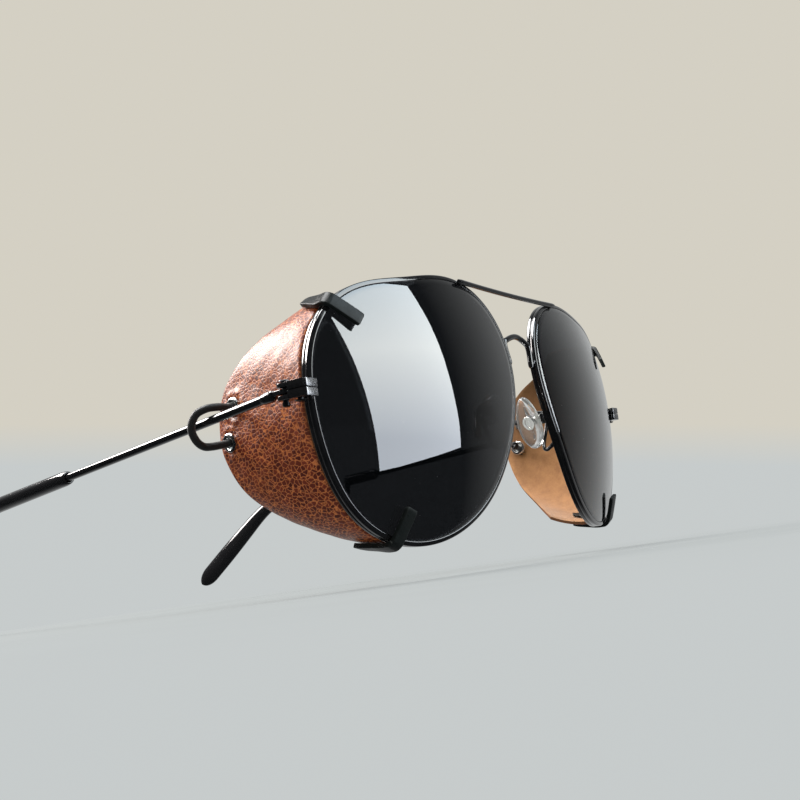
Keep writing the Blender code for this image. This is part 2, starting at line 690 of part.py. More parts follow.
def make_shield(side_name, side):
    rows = 26
    columns = 6
    half = LEATHER_THICK / 2
    bm = bmesh.new()
    grids = []
    for lift in (half, -half):
        grids.append([[bm.verts.new(world(side, shield_point(i / rows, j / columns, lift)))
                       for j in range(columns + 1)] for i in range(rows + 1)])
    for grid in grids:
        for i in range(rows):
            for j in range(columns):
                bm.faces.new((grid[i][j], grid[i + 1][j], grid[i + 1][j + 1], grid[i][j + 1]))
    outer, inner = grids
    border = [(i, 0) for i in range(rows)] + [(rows, j) for j in range(columns)]
    border += [(i, columns) for i in range(rows, 0, -1)] + [(0, j) for j in range(columns, 0, -1)]
    for (i, j), (m, n) in zip(border, border[1:] + border[:1]):
        bm.faces.new((outer[i][j], outer[m][n], inner[m][n], inner[i][j]))
    leather = finish_mesh("shield_leather_" + side_name, bm)
    for share, reach in EYELETS.values():
        start = world(side, shield_point(share, reach, -2.0))
        direction = world(side, shield_point(share, reach, 2.0)) - start
        bore(leather, start, direction, 4.0, EYELET_BARREL + GAP)
    paint(leather, material("shield_leather_" + side_name, BROWN, 0.5))
    return leather


def make_eyelet(name, side, share, reach):
    """Rolled metal ring: a barrel through the leather with a flange on each face."""
    seat = LEATHER_THICK / 2 + GAP
    lip = seat + 0.45
    profile = ((-lip, EYELET_BORE + 0.2), (-lip, EYELET_FLANGE - 0.35), (-seat, EYELET_FLANGE),
               (-seat, EYELET_BARREL), (seat, EYELET_BARREL), (seat, EYELET_FLANGE),
               (lip, EYELET_FLANGE - 0.35), (lip, EYELET_BORE + 0.2), (0.0, EYELET_BORE))
    start = world(side, shield_point(share, reach, 0.0))
    direction = world(side, shield_point(share, reach, 1.0)) - start
    eyelet = hollow_turned(name, start, direction, profile)
    paint(eyelet, material(name + "_metal", (0.72, 0.72, 0.70, 1.0), 0.25, 1.0))
    return eyelet


def cord_route():
    """Middle line of the cord: out by the upper eyelet and back in by the lower one."""
    lifts = (CORD_INSIDE, 0.0, CORD_OUTSIDE)
    out = [shield_point(*EYELETS["upper"], lift) for lift in lifts]
    back = [shield_point(*EYELETS["lower"], lift) for lift in reversed(lifts)]
    return out + list(CORD_ROUND_TEMPLE) + back


def make_cord(side_name, side):
    """Elastic cord loop, out through one eyelet, round the temple and in by the other."""
    points = [world(side, point) for point in smooth_curve(cord_route(), 4)]
    cord = round_wire("cord_loop_" + side_name, points, CORD_RADIUS)
    paint(cord, material("cord_" + side_name, BLACK, 0.7))
    return cord


def make_knot(name, side, share, reach):
    centre = world(side, shield_point(share, reach, CORD_INSIDE - KNOT_RADIUS - GAP))
    profile = [(-KNOT_RADIUS * cos(pi * k / 8), max(KNOT_RADIUS * sin(pi * k / 8), 0.25))
               for k in range(9)]
    knot = turned(name, centre, Vector((side, 0, 0)), profile, 12)
    paint(knot, material(name + "_cord", BLACK, 0.7))
    return knot


def clip_rim_ring(side, angle, before, here, after):
    """Cross-section of a clip strip at an (out, depth) place beside the rim."""
    slope = atan2(after[1] - before[1], after[0] - before[0])
    nudge = (-sin(slope) * CLIP_THICK / 2, cos(slope) * CLIP_THICK / 2)
    ring = []
    for face, edge in ((1, -1), (1, 1), (-1, 1), (-1, -1)):
        radius = outline_radius(angle) + here[0] + face * nudge[0]
        across = edge * CLIP_HALF_WIDTH
        point = on_lens(radius * cos(angle) - across * sin(angle),
                        radius * sin(angle) + across * cos(angle), here[1] + face * nudge[1])
        ring.append(world(side, point))
    return ring


def clip_shield_ring(side, share, reach, lift, half_width, thick):
    """Cross-section of a clip strip lying along the leather."""
    centre = shield_point(share, reach, lift)
    across = (shield_point(share - 0.01, reach, lift)
              - shield_point(share + 0.01, reach, lift)).normalized()
    outward = shield_point(share, reach, lift + thick / 2) - centre
    return [world(side, centre + across * edge * half_width + outward * face)
            for face, edge in ((-1, -1), (-1, 1), (1, 1), (1, -1))]


def make_clip(level, side_name, side):
    """J-shaped spring strip: a tab on the lens front, over the rim, along the leather."""
    angle = CLIPS[level]
    share = (angle - SHIELD_ANGLES[0]) / (SHIELD_ANGLES[1] - SHIELD_ANGLES[0])
    path = [(-CLIP_TAB, CLIP_FRONT - 0.5), (-CLIP_TAB / 2, CLIP_FRONT - 0.25)]
    for k in range(5):
        turn = radians(-90 + 22.5 * k)
        path.append((CLIP_STANDOFF + CLIP_BEND * (cos(turn) - 1),
                     CLIP_FRONT + CLIP_BEND * (sin(turn) + 1)))
    path.append((CLIP_STANDOFF, 1.1))
    rings = []
    for k, here in enumerate(path):
        before = path[max(k - 1, 0)]
        after = path[min(k + 1, len(path) - 1)]
        rings.append(clip_rim_ring(side, angle, before, here, after))
    lift = LEATHER_THICK / 2 + GAP + CLIP_THICK / 2
    for reach, width in CLIP_TAIL:
        rings.append(clip_shield_ring(side, share, reach, lift, CLIP_HALF_WIDTH * width,
                                      CLIP_THICK))
    name = "shield_clip_" + level + "_" + side_name
    clip = loft(name, rings)
    paint(clip, material(name + "_paint", BLACK, 0.35, 0.6))


def make_clip_leaf(level, side_name, side):
    """Inner leaf that grips the leather against the clip's tail."""
    share = (CLIPS[level] - SHIELD_ANGLES[0]) / (SHIELD_ANGLES[1] - SHIELD_ANGLES[0])
    lift = -LEATHER_THICK / 2 - GAP - LEAF_THICK / 2
    rings = [clip_shield_ring(side, share, reach, lift, CLIP_HALF_WIDTH * width, LEAF_THICK)
             for reach, width in LEAF_TAIL]
    name = "clip_leaf_" + level + "_" + side_name
    leaf = loft(name, rings)
    paint(leaf, material(name + "_paint", BLACK, 0.35, 0.6))


# ---------------------------------------------------------------- assembly

def hold(parent, children):
    """Parent objects to a joint's empty without moving them."""
    bpy.context.view_layer.update()
    for child in children:
        child.parent = parent
        child.matrix_parent_inverse = parent.matrix_world.inverted()


def joint_empty(name, origin):
    empty = bpy.data.objects.new(name, None)
    empty.empty_display_size = 0.01
    empty.location = origin
    bpy.context.scene.collection.objects.link(empty)
    return empty


def make_side(side_name, side):
    make_rim(side_name, side)
    make_lens(side_name, side)
    make_end_piece(side_name, side)
    make_hinge_screw(side_name, side)
    make_lock_screw(side_name, side)
    make_pad_arm(side_name, side)
    make_pad_screw(side_name, side)
    make_shield(side_name, side)
    for level in CLIPS:
        make_clip(level, side_name, side)
        make_clip_leaf(level, side_name, side)
    hinge = world(side, (HINGE_X, HINGE_Y, HINGE_Z))
    moving = [make_tongue(side_name, side, hinge), make_temple_wire(side_name, side),
              make_sleeve(side_name, side), make_cord(side_name, side)]
    for level, (share, reach) in EYELETS.items():
        moving.append(make_eyelet("eyelet_" + level + "_" + side_name, side, share, reach))
        moving.append(make_knot("cord_knot_" + level + "_" + side_name, side, share, reach))
    hold(joint_empty("temple_joint_" + side_name, hinge), moving)
    pad_axis = world(side, pad_point(PAD_SCREW_LIFT, 0, 0))
    pads = [make_pad_insert(side_name, side, pad_axis), make_nose_pad(side_name, side, pad_axis)]
    hold(joint_empty("pad_joint_" + side_name, pad_axis), pads)


def main():
    for obj in list(bpy.data.objects):
        bpy.data.objects.remove(obj)
    for side_name, side in SIDES.items():
        make_side(side_name, side)
    make_brow_bar()
    make_bridge()


main()
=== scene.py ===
"""Looks of a pair of glacier glasses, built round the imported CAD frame.

Lengths are the design's own millimetres, as in the part's source: the origin is on the
midline at the lens centres' height, the wearer's left side is at +X, the lenses face -Y and
the temples run back along +Y. world() turns design points into the frame's metres.
"""
from math import atan2, cos, exp, pi, radians, sin

import bmesh
import bpy
import numpy as np
from mathutils import Matrix, Vector

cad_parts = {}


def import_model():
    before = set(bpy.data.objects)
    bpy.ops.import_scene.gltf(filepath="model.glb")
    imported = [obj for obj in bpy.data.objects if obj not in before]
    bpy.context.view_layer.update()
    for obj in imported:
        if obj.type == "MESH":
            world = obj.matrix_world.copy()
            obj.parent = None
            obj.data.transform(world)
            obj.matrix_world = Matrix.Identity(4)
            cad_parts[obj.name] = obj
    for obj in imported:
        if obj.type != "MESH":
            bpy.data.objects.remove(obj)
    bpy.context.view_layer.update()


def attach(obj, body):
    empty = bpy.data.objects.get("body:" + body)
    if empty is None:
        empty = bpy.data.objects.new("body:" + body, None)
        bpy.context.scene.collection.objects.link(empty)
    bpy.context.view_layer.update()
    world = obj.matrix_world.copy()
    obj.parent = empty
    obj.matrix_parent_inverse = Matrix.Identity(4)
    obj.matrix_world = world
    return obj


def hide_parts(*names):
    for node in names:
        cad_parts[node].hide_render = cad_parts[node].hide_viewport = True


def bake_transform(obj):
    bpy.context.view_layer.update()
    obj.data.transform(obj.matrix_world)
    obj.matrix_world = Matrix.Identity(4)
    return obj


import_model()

MM = 0.001
SIDE_NAMES = {-1: "_right", 0: "", 1: "_left"}

# The part's driving sizes, as its source has them
GAP = 0.3
REST_LEAN = radians(1.83)
REST_HEIGHT = 29.04
CENTRE_DEPTH = -77.45

# Lenses and rims
LENS_MEAN_RADIUS = 27.5
LENS_HARMONICS = ((2, 0.86, -1.92), (3, 0.06, 1.60), (4, -0.65, 0.09))
LENS_CENTRE_X = 36.1         # half the distance between the lens centres
LENS_WRAP = radians(10.7)    # each lens turns back towards its temple
LENS_CURVE = 90.0            # radius of the spherical front
LENS_THICK = 1.8
RIM_HALF_DEPTH = 0.95
RIM_OUTER = 0.95             # rim's outside, measured outwards from the lens edge
RIM_LIP = -0.05
RIM_GROOVE = 0.6
RIM_GROOVE_HALF = 0.45       # half the width of the groove that holds the lens
RIM_LINE_HALF = 0.22         # half the width of the shallow line round the rim's outside
RIM_LINE_DEPTH = 0.13
LENS_CHAMFER = 0.16

# Brow bar and bridge wires
BROW_RADIUS = 0.55
BROW_HALF_LENGTH = 21.5
BROW_Z = 25.7
BRIDGE_RADIUS = 0.65
BRIDGE_TOP_Z = 15.7

# Hinge: a vertical screw through two front knuckles and the temple's tongue
HINGE = Vector((65.4, 13.15, 1.6))
KNUCKLE_RADIUS = 1.5
BLOCK_HALF_HEIGHT = 1.65
BLOCK_FRONT_Y = 7.1
BLOCK_BACK_Y = 11.4
BLOCK_X = (63.9, 66.9)
PLATE_INNER_X = 63.3
LOCK_SCREW_Y = 9.6
SCREW_SHANK = 0.55
SLOT_LENGTH = 3.0            # of the cutter that makes a screw's slot
SLOT_HALF = (0.16, 0.11)     # half depth and half width of an upright screw's slot
PAD_SLOT_HALF = (0.09, 0.2)
PAD_SLOT_LENGTH = 2.4
LOCK_SEAM = 0.05             # half the gap between the end piece's two halves
TONGUE_HALF_HEIGHT = 0.45
EYE_RADIUS = 1.35
BARREL_LENGTH = 3.3
BARREL_RADIUS = 1.1

# Temples
WIRE_RADIUS = 0.9
WIRE_START_Y = 18.8
TEMPLE_BEND_START = 100.0
TEMPLE_BEND_LENGTH = 22.0
TEMPLE_PITCH = (radians(-4.6), radians(-42.0))
TEMPLE_YAW = (radians(6.0), radians(20.0))
SLEEVE_START = 69.0
SLEEVE_BORE_END = 136.0
SLEEVE_END = 149.0
SLEEVE_RADIUS = 1.7
SLEEVE_SWELL = 0.15          # added over the first SLEEVE_SWELL_LENGTH
SLEEVE_SWELL_LENGTH = 30.0
SLEEVE_NOSE = 2.6            # length of the rounded front end
SLEEVE_NOSE_RADIUS = 1.32
SLEEVE_TAIL = 5.0            # length of the rounded back end
PADDLE_START = 104.0
PADDLE_LENGTH = 34.0
PADDLE_RISE = 0.95           # added to the half height over the paddle
PADDLE_THIN = 0.3

# Nose pads, each on a small U-shaped box that its screw crosses
PAD_BOX = (14.0, 3.4, -1.5)
PAD_FACING = (-0.90, 0.28, -0.33)
PAD_DOWN = (0.26, 0.08, -1.0)
PAD_HALF_LENGTH = 6.4
PAD_HALF_WIDTH = 3.6
PAD_HALF_THICK = 1.15
PAD_LIFT = 4.9
PAD_SCREW_LIFT = 1.5
BOX_HALF_WIDTH = 1.7
BOX_INNER = 1.15
BOX_FLOOR = 0.55
BOX_HEIGHT = 2.2
BOX_HALF_LENGTH = 1.25
ARM_RADIUS = 0.45
ARM_ROOT_ANGLE = radians(200)

# Leather side shields, their clips, eyelets and cord loops
LEATHER_THICK = 1.1
LEATHER_FRONT = 1.95         # leather's front edge, measured back from the lens's middle
SHIELD_ANGLES = (radians(46.5), radians(-73.0))
SHIELD_FREE_EDGE = (
    (51.2, 18.5, 19.4), (54.2, 21.5, 17.3), (56.1, 26.0, 15.0), (56.7, 32.0, 11.4),
    (56.8, 37.2, 5.8), (56.8, 39.0, -1.5), (56.4, 38.0, -8.2), (54.4, 34.4, -15.1),
    (49.6, 27.2, -21.1), (41.4, 19.4, -25.3))
SHIELD_BOW = 0.8
CLIPS = {"upper": radians(40.0), "lower": radians(-66.8)}
CLIP_HALF_WIDTH = 1.45
CLIP_THICK = 1.0
CLIP_FRONT = -1.8            # middle of the strip where it crosses the rim's front
CLIP_STANDOFF = 1.8          # middle of the strip, outwards from the lens edge
CLIP_BEND = 1.2              # radius of the strip's turn over the rim
LEAF_THICK = 0.5
EYELETS = {"upper": (0.47, 0.82), "lower": (0.58, 0.86)}   # shares down and back
EYELET_BORE = 1.12
EYELET_BARREL = 1.4
EYELET_FLANGE = 2.05
CORD_RADIUS = 0.8
CORD_INSIDE = -2.1           # ends of the cord, inwards from the leather's middle
CORD_OUTSIDE = 2.0
CORD_ROUND_TEMPLE = (
    (62.2, 34.1, 2.6), (64.3, 35.1, 2.3), (65.8, 36.5, 1.2), (66.3, 37.4, -1.2),
    (65.5, 37.3, -3.5), (64.0, 36.9, -4.8), (62.2, 36.3, -4.9))
KNOT_RADIUS = 1.3

# Pebbles of the leather's grain: their pitch in mm, and how far their rows lean
PEBBLE = 0.95
PEBBLE_LEAN = radians(24)

# The camera, placed in the frame's metres; it looks up a little, from below the lenses
CAMERA_EYE = (-0.20496, -0.18733, -0.00287)
CAMERA_BEARING = radians(54.93)     # from +Y towards +X
CAMERA_RISE = radians(9.09)
CAMERA_ROLL = radians(-8.02)
CAMERA_LENS = 46.54                 # mm, on a 36 mm sensor

# The studio
FLOOR_Z = -0.006                    # just below the part, so that the camera is above it
FLOOR_FADE = (0.06, 0.22)           # metres from the middle over which it fades out
TABLE_GREY = (0.57, 0.60, 0.60)
WALL_BEIGE = (0.66, 0.63, 0.55)
WALL_FOOT = (-0.060, -0.022)        # where the wall starts, in sines above the view's middle
WINDOW_CORNERS = ((-9.0, 62.0), (12.3, -13.3), (43.4, -5.3), (36.0, 62.0))
WINDOW_DISTANCE = 0.9
WINDOW_AIM = (8.0, 2.0)             # mm across and up the near lens
WINDOW_HEIGHTS = (-40.0, 260.0, 620.0)   # mm, where its three colours are
WINDOW_GLOW = 6.0
SHEEN_PLACE = (0.24, 0.55)          # shares down and back over the leather
SHEEN_DISTANCE = 0.5
SHEEN_SIZE = (0.26, 0.20)
SHEEN_POWER = 3.3
SHEEN_TINT = (1.0, 0.94, 0.91)
OVERHEAD_PLACE = (-0.15, 0.15, 0.95)
OVERHEAD_TARGET = (0, 0, 0.02)
OVERHEAD_SIZE = (0.65, 0.45)
OVERHEAD_POWER = 13.0
ROOM_FRONT = (0.85, 0.52, 0.05)     # heading whose reflections are the lightest


# ---------------------------------------------------------------- the design's shapes

def world_rows(side, rows):
    """World metres of an array of design points; side -1 mirrors them to the right."""
    rows = np.asarray(rows, float)
    y = rows[..., 1] * cos(REST_LEAN) - rows[..., 2] * sin(REST_LEAN)
    z = rows[..., 1] * sin(REST_LEAN) + rows[..., 2] * cos(REST_LEAN)
    return np.stack([side * rows[..., 0], y + CENTRE_DEPTH, z + REST_HEIGHT], -1) * MM


def world(side, point):
    return Vector(world_rows(side, point))


def outline_radius(angle):
    """Lens edge, measured from the lens centre; angle 0 points at the temple."""
    radius = LENS_MEAN_RADIUS
    for order, cosine, sine in LENS_HARMONICS:
        radius += cosine * cos(order * angle) + sine * sin(order * angle)
    return radius


def on_lens(across, up, depth):
    """Design point from lens coordinates: across and up its face, depth behind it."""
    back = (across * across + up * up) / (2 * LENS_CURVE) + depth
    return Vector((LENS_CENTRE_X + across * cos(LENS_WRAP) - back * sin(LENS_WRAP),
                   across * sin(LENS_WRAP) + back * cos(LENS_WRAP), up))


def on_rim(angle, out, depth):
    """Design point beside the lens edge: out of the outline and depth behind it."""
    radius = outline_radius(angle) + out
    return on_lens(radius * cos(angle), radius * sin(angle), depth)


def through(points, place):
    """Point of the Catmull-Rom curve through the points; place counts in points."""
    ends = [2 * points[0] - points[1]] + list(points) + [2 * points[-1] - points[-2]]
    index = min(int(place), len(points) - 2)
    t = place - index
    p0, p1, p2, p3 = ends[index:index + 4]
    return 0.5 * (2 * p1 + (p2 - p0) * t + (2 * p0 - 5 * p1 + 4 * p2 - p3) * t * t
                  + (3 * p1 - p0 - 3 * p2 + p3) * t * t * t)


def smooth_curve(points, steps):
    points = [Vector(point) for point in points]
    count = (len(points) - 1) * steps
    return [through(points, k / steps) for k in range(count + 1)]


def ease(share):
    """Share from 0 to 1 with a soft start and end; values outside stop at the ends."""
    share = np.clip(share, 0.0, 1.0)
    return share * share * (3 - 2 * share)


def temple_heading(along):
    """Direction of the temple after a length of wire."""
    share = ease((along - TEMPLE_BEND_START) / TEMPLE_BEND_LENGTH)
    pitch = TEMPLE_PITCH[0] + share * (TEMPLE_PITCH[1] - TEMPLE_PITCH[0])
    yaw = TEMPLE_YAW[0] + share * (TEMPLE_YAW[1] - TEMPLE_YAW[0])
    return Vector((-sin(yaw) * cos(pitch), cos(yaw) * cos(pitch), sin(pitch)))


def temple_point(along):
    """Design point on the temple's middle line after a length of wire."""
    point = Vector((HINGE.x, WIRE_START_Y,
                    HINGE.z + (WIRE_START_Y - HINGE.y) * TEMPLE_PITCH[0]))
    steps = max(int(abs(along) / 2.0), 1)
    for k in range(steps):
        point += temple_heading((k + 0.5) * along / steps) * along / steps
    return point


def round_end(share):
    """Height of a quarter ellipse at a share of its length."""
    return max(1.0 - (1.0 - min(share, 1.0)) ** 2, 0.0) ** 0.5


def sleeve_size(along):
    """Half height and half thickness of the sleeve after a length of wire."""
    nose = round_end((along - SLEEVE_START) / SLEEVE_NOSE)
    tail = round_end((SLEEVE_END - along) / SLEEVE_TAIL)
    flare = ease((along - PADDLE_START) / PADDLE_LENGTH)
    radius = SLEEVE_RADIUS + min((along - SLEEVE_START) / SLEEVE_SWELL_LENGTH, 1.0) * SLEEVE_SWELL
    height = (radius + PADDLE_RISE * flare) * tail
    thick = (radius - PADDLE_THIN * flare) * (0.35 + 0.65 * tail)
    start = SLEEVE_NOSE_RADIUS
    return start + (height - start) * nose, start + (thick - start) * nose


def pad_axes():
    """The pad box's axes: towards the nose, along the pad's length, along its screw."""
    facing = Vector(PAD_FACING).normalized()
    length = Vector(PAD_DOWN)
    length = (length - facing * length.dot(facing)).normalized()
    return facing, length, facing.cross(length)


def pad_point(lift, along, across):
    facing, length, screw = pad_axes()
    return Vector(PAD_BOX) + facing * lift + length * along + screw * across


def free_edge(share):
    points = [Vector(point) for point in SHIELD_FREE_EDGE]
    return through(points, min(share, 0.999999) * (len(points) - 1))


def shield_rib(share):
    """The leather at a share of its length: its front edge, free edge, outward normal
    and how far it bows out halfway."""
    span = SHIELD_ANGLES[1] - SHIELD_ANGLES[0]
    angle = SHIELD_ANGLES[0] + share * span
    front = on_rim(angle, 0.2, LEATHER_FRONT)
    edge = free_edge(share)
    middles = []
    for near in (max(share - 0.01, 0.0), min(share + 0.01, 1.0)):
        middles.append(on_rim(SHIELD_ANGLES[0] + near * span, 0.2, LEATHER_FRONT)
                       + free_edge(near))
    normal = (middles[1] - middles[0]).cross(edge - front).normalized()
    if normal.dot(Vector((cos(angle), 0, sin(angle)))) < 0:
        normal = -normal
    return front, edge, normal, SHIELD_BOW * min(abs(angle) / 0.5, 1.0)


def shield_point(share, reach, lift):
    front, edge, normal, bow = shield_rib(share)
    return front + (edge - front) * reach + normal * (lift + bow * 4 * reach * (1 - reach))


def cord_route():
    """Middle line of the cord: out by the upper eyelet and back in by the lower one."""
    lifts = (CORD_INSIDE, 0.0, CORD_OUTSIDE)
    out = [shield_point(*EYELETS["upper"], lift) for lift in lifts]
    back = [shield_point(*EYELETS["lower"], lift) for lift in reversed(lifts)]
    return out + list(CORD_ROUND_TEMPLE) + back


# ---------------------------------------------------------------- mesh tools

def ring(centre, axis_a, axis_b, radius_a, radius_b, count):
    """Ellipse of design points round a centre."""
    return [centre + axis_a * (radius_a * cos(2 * pi * k / count))
            + axis_b * (radius_b * sin(2 * pi * k / count)) for k in range(count)]


def rounded(outline, radius, steps=4):
    """Closed 2-D outline with its corners rounded off."""
    result = []
    count = len(outline)
    for k, corner in enumerate(outline):
        corner = Vector(corner)
        before = Vector(outline[k - 1]) - corner
        after = Vector(outline[(k + 1) % count]) - corner
        start = corner + before.normalized() * min(radius, before.length * 0.48)
        end = corner + after.normalized() * min(radius, after.length * 0.48)
        for step in range(steps + 1):
            t = step / steps
            result.append(start * (1 - t) ** 2 + corner * 2 * t * (1 - t) + end * t * t)
    return result


def skin(bm, side, rings, closed=False, caps=True):
    """Add faces over rings of design points to a bmesh."""
    rows = [[bm.verts.new(world(side, point)) for point in points] for points in rings]
    pairs = list(zip(rows, rows[1:]))
    if closed:
        pairs.append((rows[-1], rows[0]))
    elif caps:
        bm.faces.new(rows[0])
        bm.faces.new(rows[-1])
    for row, following in pairs:
        for k in range(len(row)):
            after = (k + 1) % len(row)
            bm.faces.new((row[k], row[after], following[after], following[k]))
    return rows


def frames(points):
    """Tangent and two steady cross axes at each point of a curve."""
    result = []
    across = None
    for k, point in enumerate(points):
        tangent = (points[min(k + 1, len(points) - 1)] - points[max(k - 1, 0)]).normalized()
        if across is None:
            across = tangent.orthogonal().normalized()
        across = (across - tangent * across.dot(tangent)).normalized()
        result.append((point, tangent, across, tangent.cross(across)))
    return result


def tube(bm, side, points, radius, count=20, sizes=None):
    """Round wire along design points; sizes scales its radius at each point."""
    rings = []
    for k, (point, _, across, other) in enumerate(frames(points)):
        size = radius * (sizes[k] if sizes else 1.0)
        rings.append(ring(point, across, other, size, size, count))
    return skin(bm, side, rings)


def turned(bm, side, start, direction, profile, count=32, closed=False):
    """Solid of revolution; profile holds (distance along, radius)."""
    direction = Vector(direction).normalized()
    across = direction.orthogonal().normalized()
    other = direction.cross(across)
    start = Vector(start)
    if closed:
        rings = []
        for k in range(count):
            spoke = across * cos(2 * pi * k / count) + other * sin(2 * pi * k / count)
            rings.append([start + direction * along + spoke * radius
                          for along, radius in profile])
        return skin(bm, side, rings, closed=True)
    rings = [ring(start + direction * along, across, other, radius, radius, count)
             for along, radius in profile]
    return skin(bm, side, rings)


def prism(bm, side, outline, low, high, bevel=0.12):
    """Upright solid over a plan outline, with its top and bottom edges eased."""
    centre = sum((Vector(p) for p in outline), Vector((0, 0))) / len(outline)
    rings = []
    for z, inset in ((low, bevel), (low + bevel * 0.3, bevel * 0.3), (low + bevel, 0.0),
                     (high - bevel, 0.0), (high - bevel * 0.3, bevel * 0.3), (high, bevel)):
        points = []
        for place in outline:
            inward = centre - Vector(place)
            points.append(Vector((*(Vector(place) + inward.normalized() * inset), z)))
        rings.append(points)
    return skin(bm, side, rings)


def new_mesh(name, bm):
    """Turn a bmesh into a mesh whose faces look outwards."""
    bmesh.ops.recalc_face_normals(bm, faces=bm.faces)
    mesh = bpy.data.meshes.new(name)
    bm.to_mesh(mesh)
    bm.free()
    return mesh


def link(name, data):
    obj = bpy.data.objects.new(name, data)
    bpy.context.scene.collection.objects.link(obj)
    return obj


def piece(kind, side, bm, level=""):
    """Finish a bmesh as a piece of one side; level tells its upper and lower ones apart."""
    node, body, slot, sharp, looks = PIECES[kind]
    ending = level + SIDE_NAMES[side]
    mesh = new_mesh(kind + ending, bm)
    mesh.shade_smooth()
    mesh.set_sharp_from_angle(angle=radians(sharp))
    obj = link(mesh.name, mesh)
    for look in looks:
        mesh.materials.append(look)
    if body == "front":
        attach(obj, body)
    elif body:
        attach(obj, body + SIDE_NAMES[side])
    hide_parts(node + ending)
    return obj


# ---------------------------------------------------------------- materials

def add(tree, kind, inputs=(), **settings):
    """New shader node; inputs are (socket, value or another node's output) pairs."""
    node = tree.nodes.new("ShaderNode" + kind)
    for setting, value in settings.items():
        setattr(node, setting, value)
    for socket, value in inputs:
        if isinstance(value, bpy.types.NodeSocket):
            tree.links.new(value, node.inputs[socket])
        else:
            node.inputs[socket].default_value = value
    return node


def new_look(name, **sockets):
    """Principled material with plain socket values, its node tree and its shader."""
    mat = bpy.data.materials.new(name)
    mat.use_nodes = True
    shader = mat.node_tree.nodes["Principled BSDF"]
    for socket, value in sockets.items():
        shader.inputs[socket.replace("_", " ")].default_value = value
    return mat, mat.node_tree, shader


def in_mm(tree, stretch=(1.0, 1.0, 1.0)):
    """The object's own coordinates in millimetres, stretched along its axes."""
    place = add(tree, "TexCoord").outputs["Object"]
    scale = tuple(share / MM for share in stretch)
    return add(tree, "Mapping", (("Vector", place), ("Scale", scale))).outputs["Vector"]


def kept_place(tree, stretch=(1.0, 1.0, 1.0)):
    """Millimetre coordinates stored on the mesh, which follow it when it bends."""
    place = add(tree, "Attribute", attribute_name="place").outputs["Vector"]
    return add(tree, "Mapping", (("Vector", place), ("Scale", stretch))).outputs["Vector"]


def noise(tree, place, scale, detail=3.0, rough=0.55):
    return add(tree, "TexNoise", (("Vector", place), ("Scale", scale), ("Detail", detail),
                                  ("Roughness", rough))).outputs["Fac"]


def remap(tree, value, low, high, to_low, to_high):
    return add(tree, "MapRange", (("Value", value), ("From Min", low), ("From Max", high),
                                  ("To Min", to_low), ("To Max", to_high))).outputs["Result"]


def blend_colours(tree, share, first, second):
    node = add(tree, "Mix", data_type="RGBA")
    for socket, value in (("Factor_Float", share), ("A_Color", first), ("B_Color", second)):
        target = next(s for s in node.inputs if s.identifier == socket)
        if isinstance(value, bpy.types.NodeSocket):
            tree.links.new(value, target)
        else:
            target.default_value = value if isinstance(value, float) else (*value[:3], 1.0)
    return next(s for s in node.outputs if s.identifier == "Result_Color")


def spread(tree, value, to_low, to_high):
    """Spread the middle of a noise over two values."""
    return remap(tree, value, 0.3, 0.7, to_low, to_high)


def add_values(tree, first, second):
    return add(tree, "Math", ((0, first), (1, second))).outputs[0]


def finish_look(tree, shader, colour=None, roughness=None, height=None, depth=0.01):
    """Wire a material's colour, roughness and bump; depth is the bump's in mm."""
    if colour is not None:
        tree.links.new(colour, shader.inputs["Base Color"])
    if roughness is not None:
        tree.links.new(roughness, shader.inputs["Roughness"])
    if height is not None:
        bump = add(tree, "Bump", (("Height", height), ("Distance", depth * MM),
                                  ("Strength", 1.0)))
        tree.links.new(bump.outputs["Normal"], shader.inputs["Normal"])


def lacquer_look():
    """Glossy black lacquer over wire, a little cloudy where it has been rubbed."""
    mat, tree, shader = new_look("black_lacquer", Coat_Weight=0.9, Coat_Roughness=0.03,
                                 Specular_IOR_Level=0.6)
    place = in_mm(tree)
    cloud = noise(tree, place, 0.35)
    colour = blend_colours(tree, cloud, (0.003, 0.003, 0.0035), (0.011, 0.011, 0.012))
    finish_look(tree, shader, colour, spread(tree, cloud, 0.06, 0.16),
                noise(tree, place, 1.1, 1.0), 0.002)
    return mat


def spring_look():
    """Black spring strip, brushed across its length."""
    mat, tree, shader = new_look("brushed_black", Specular_IOR_Level=0.18)
    streaks = noise(tree, kept_place(tree, (14.0, 0.7, 14.0)), 1.0, 2.0)
    cloud = noise(tree, kept_place(tree), 0.5)
    wear = remap(tree, add(tree, "NewGeometry").outputs["Pointiness"], 0.53, 0.62, 0.0, 0.5)
    colour = blend_colours(tree, streaks, (0.002, 0.0025, 0.0025), (0.016, 0.020, 0.020))
    colour = blend_colours(tree, wear, colour, (0.10, 0.11, 0.11))
    roughness = add_values(tree, spread(tree, streaks, 0.26, 0.42),
                               spread(tree, cloud, -0.04, 0.06))
    finish_look(tree, shader, colour, roughness, streaks, 0.010)
    return mat


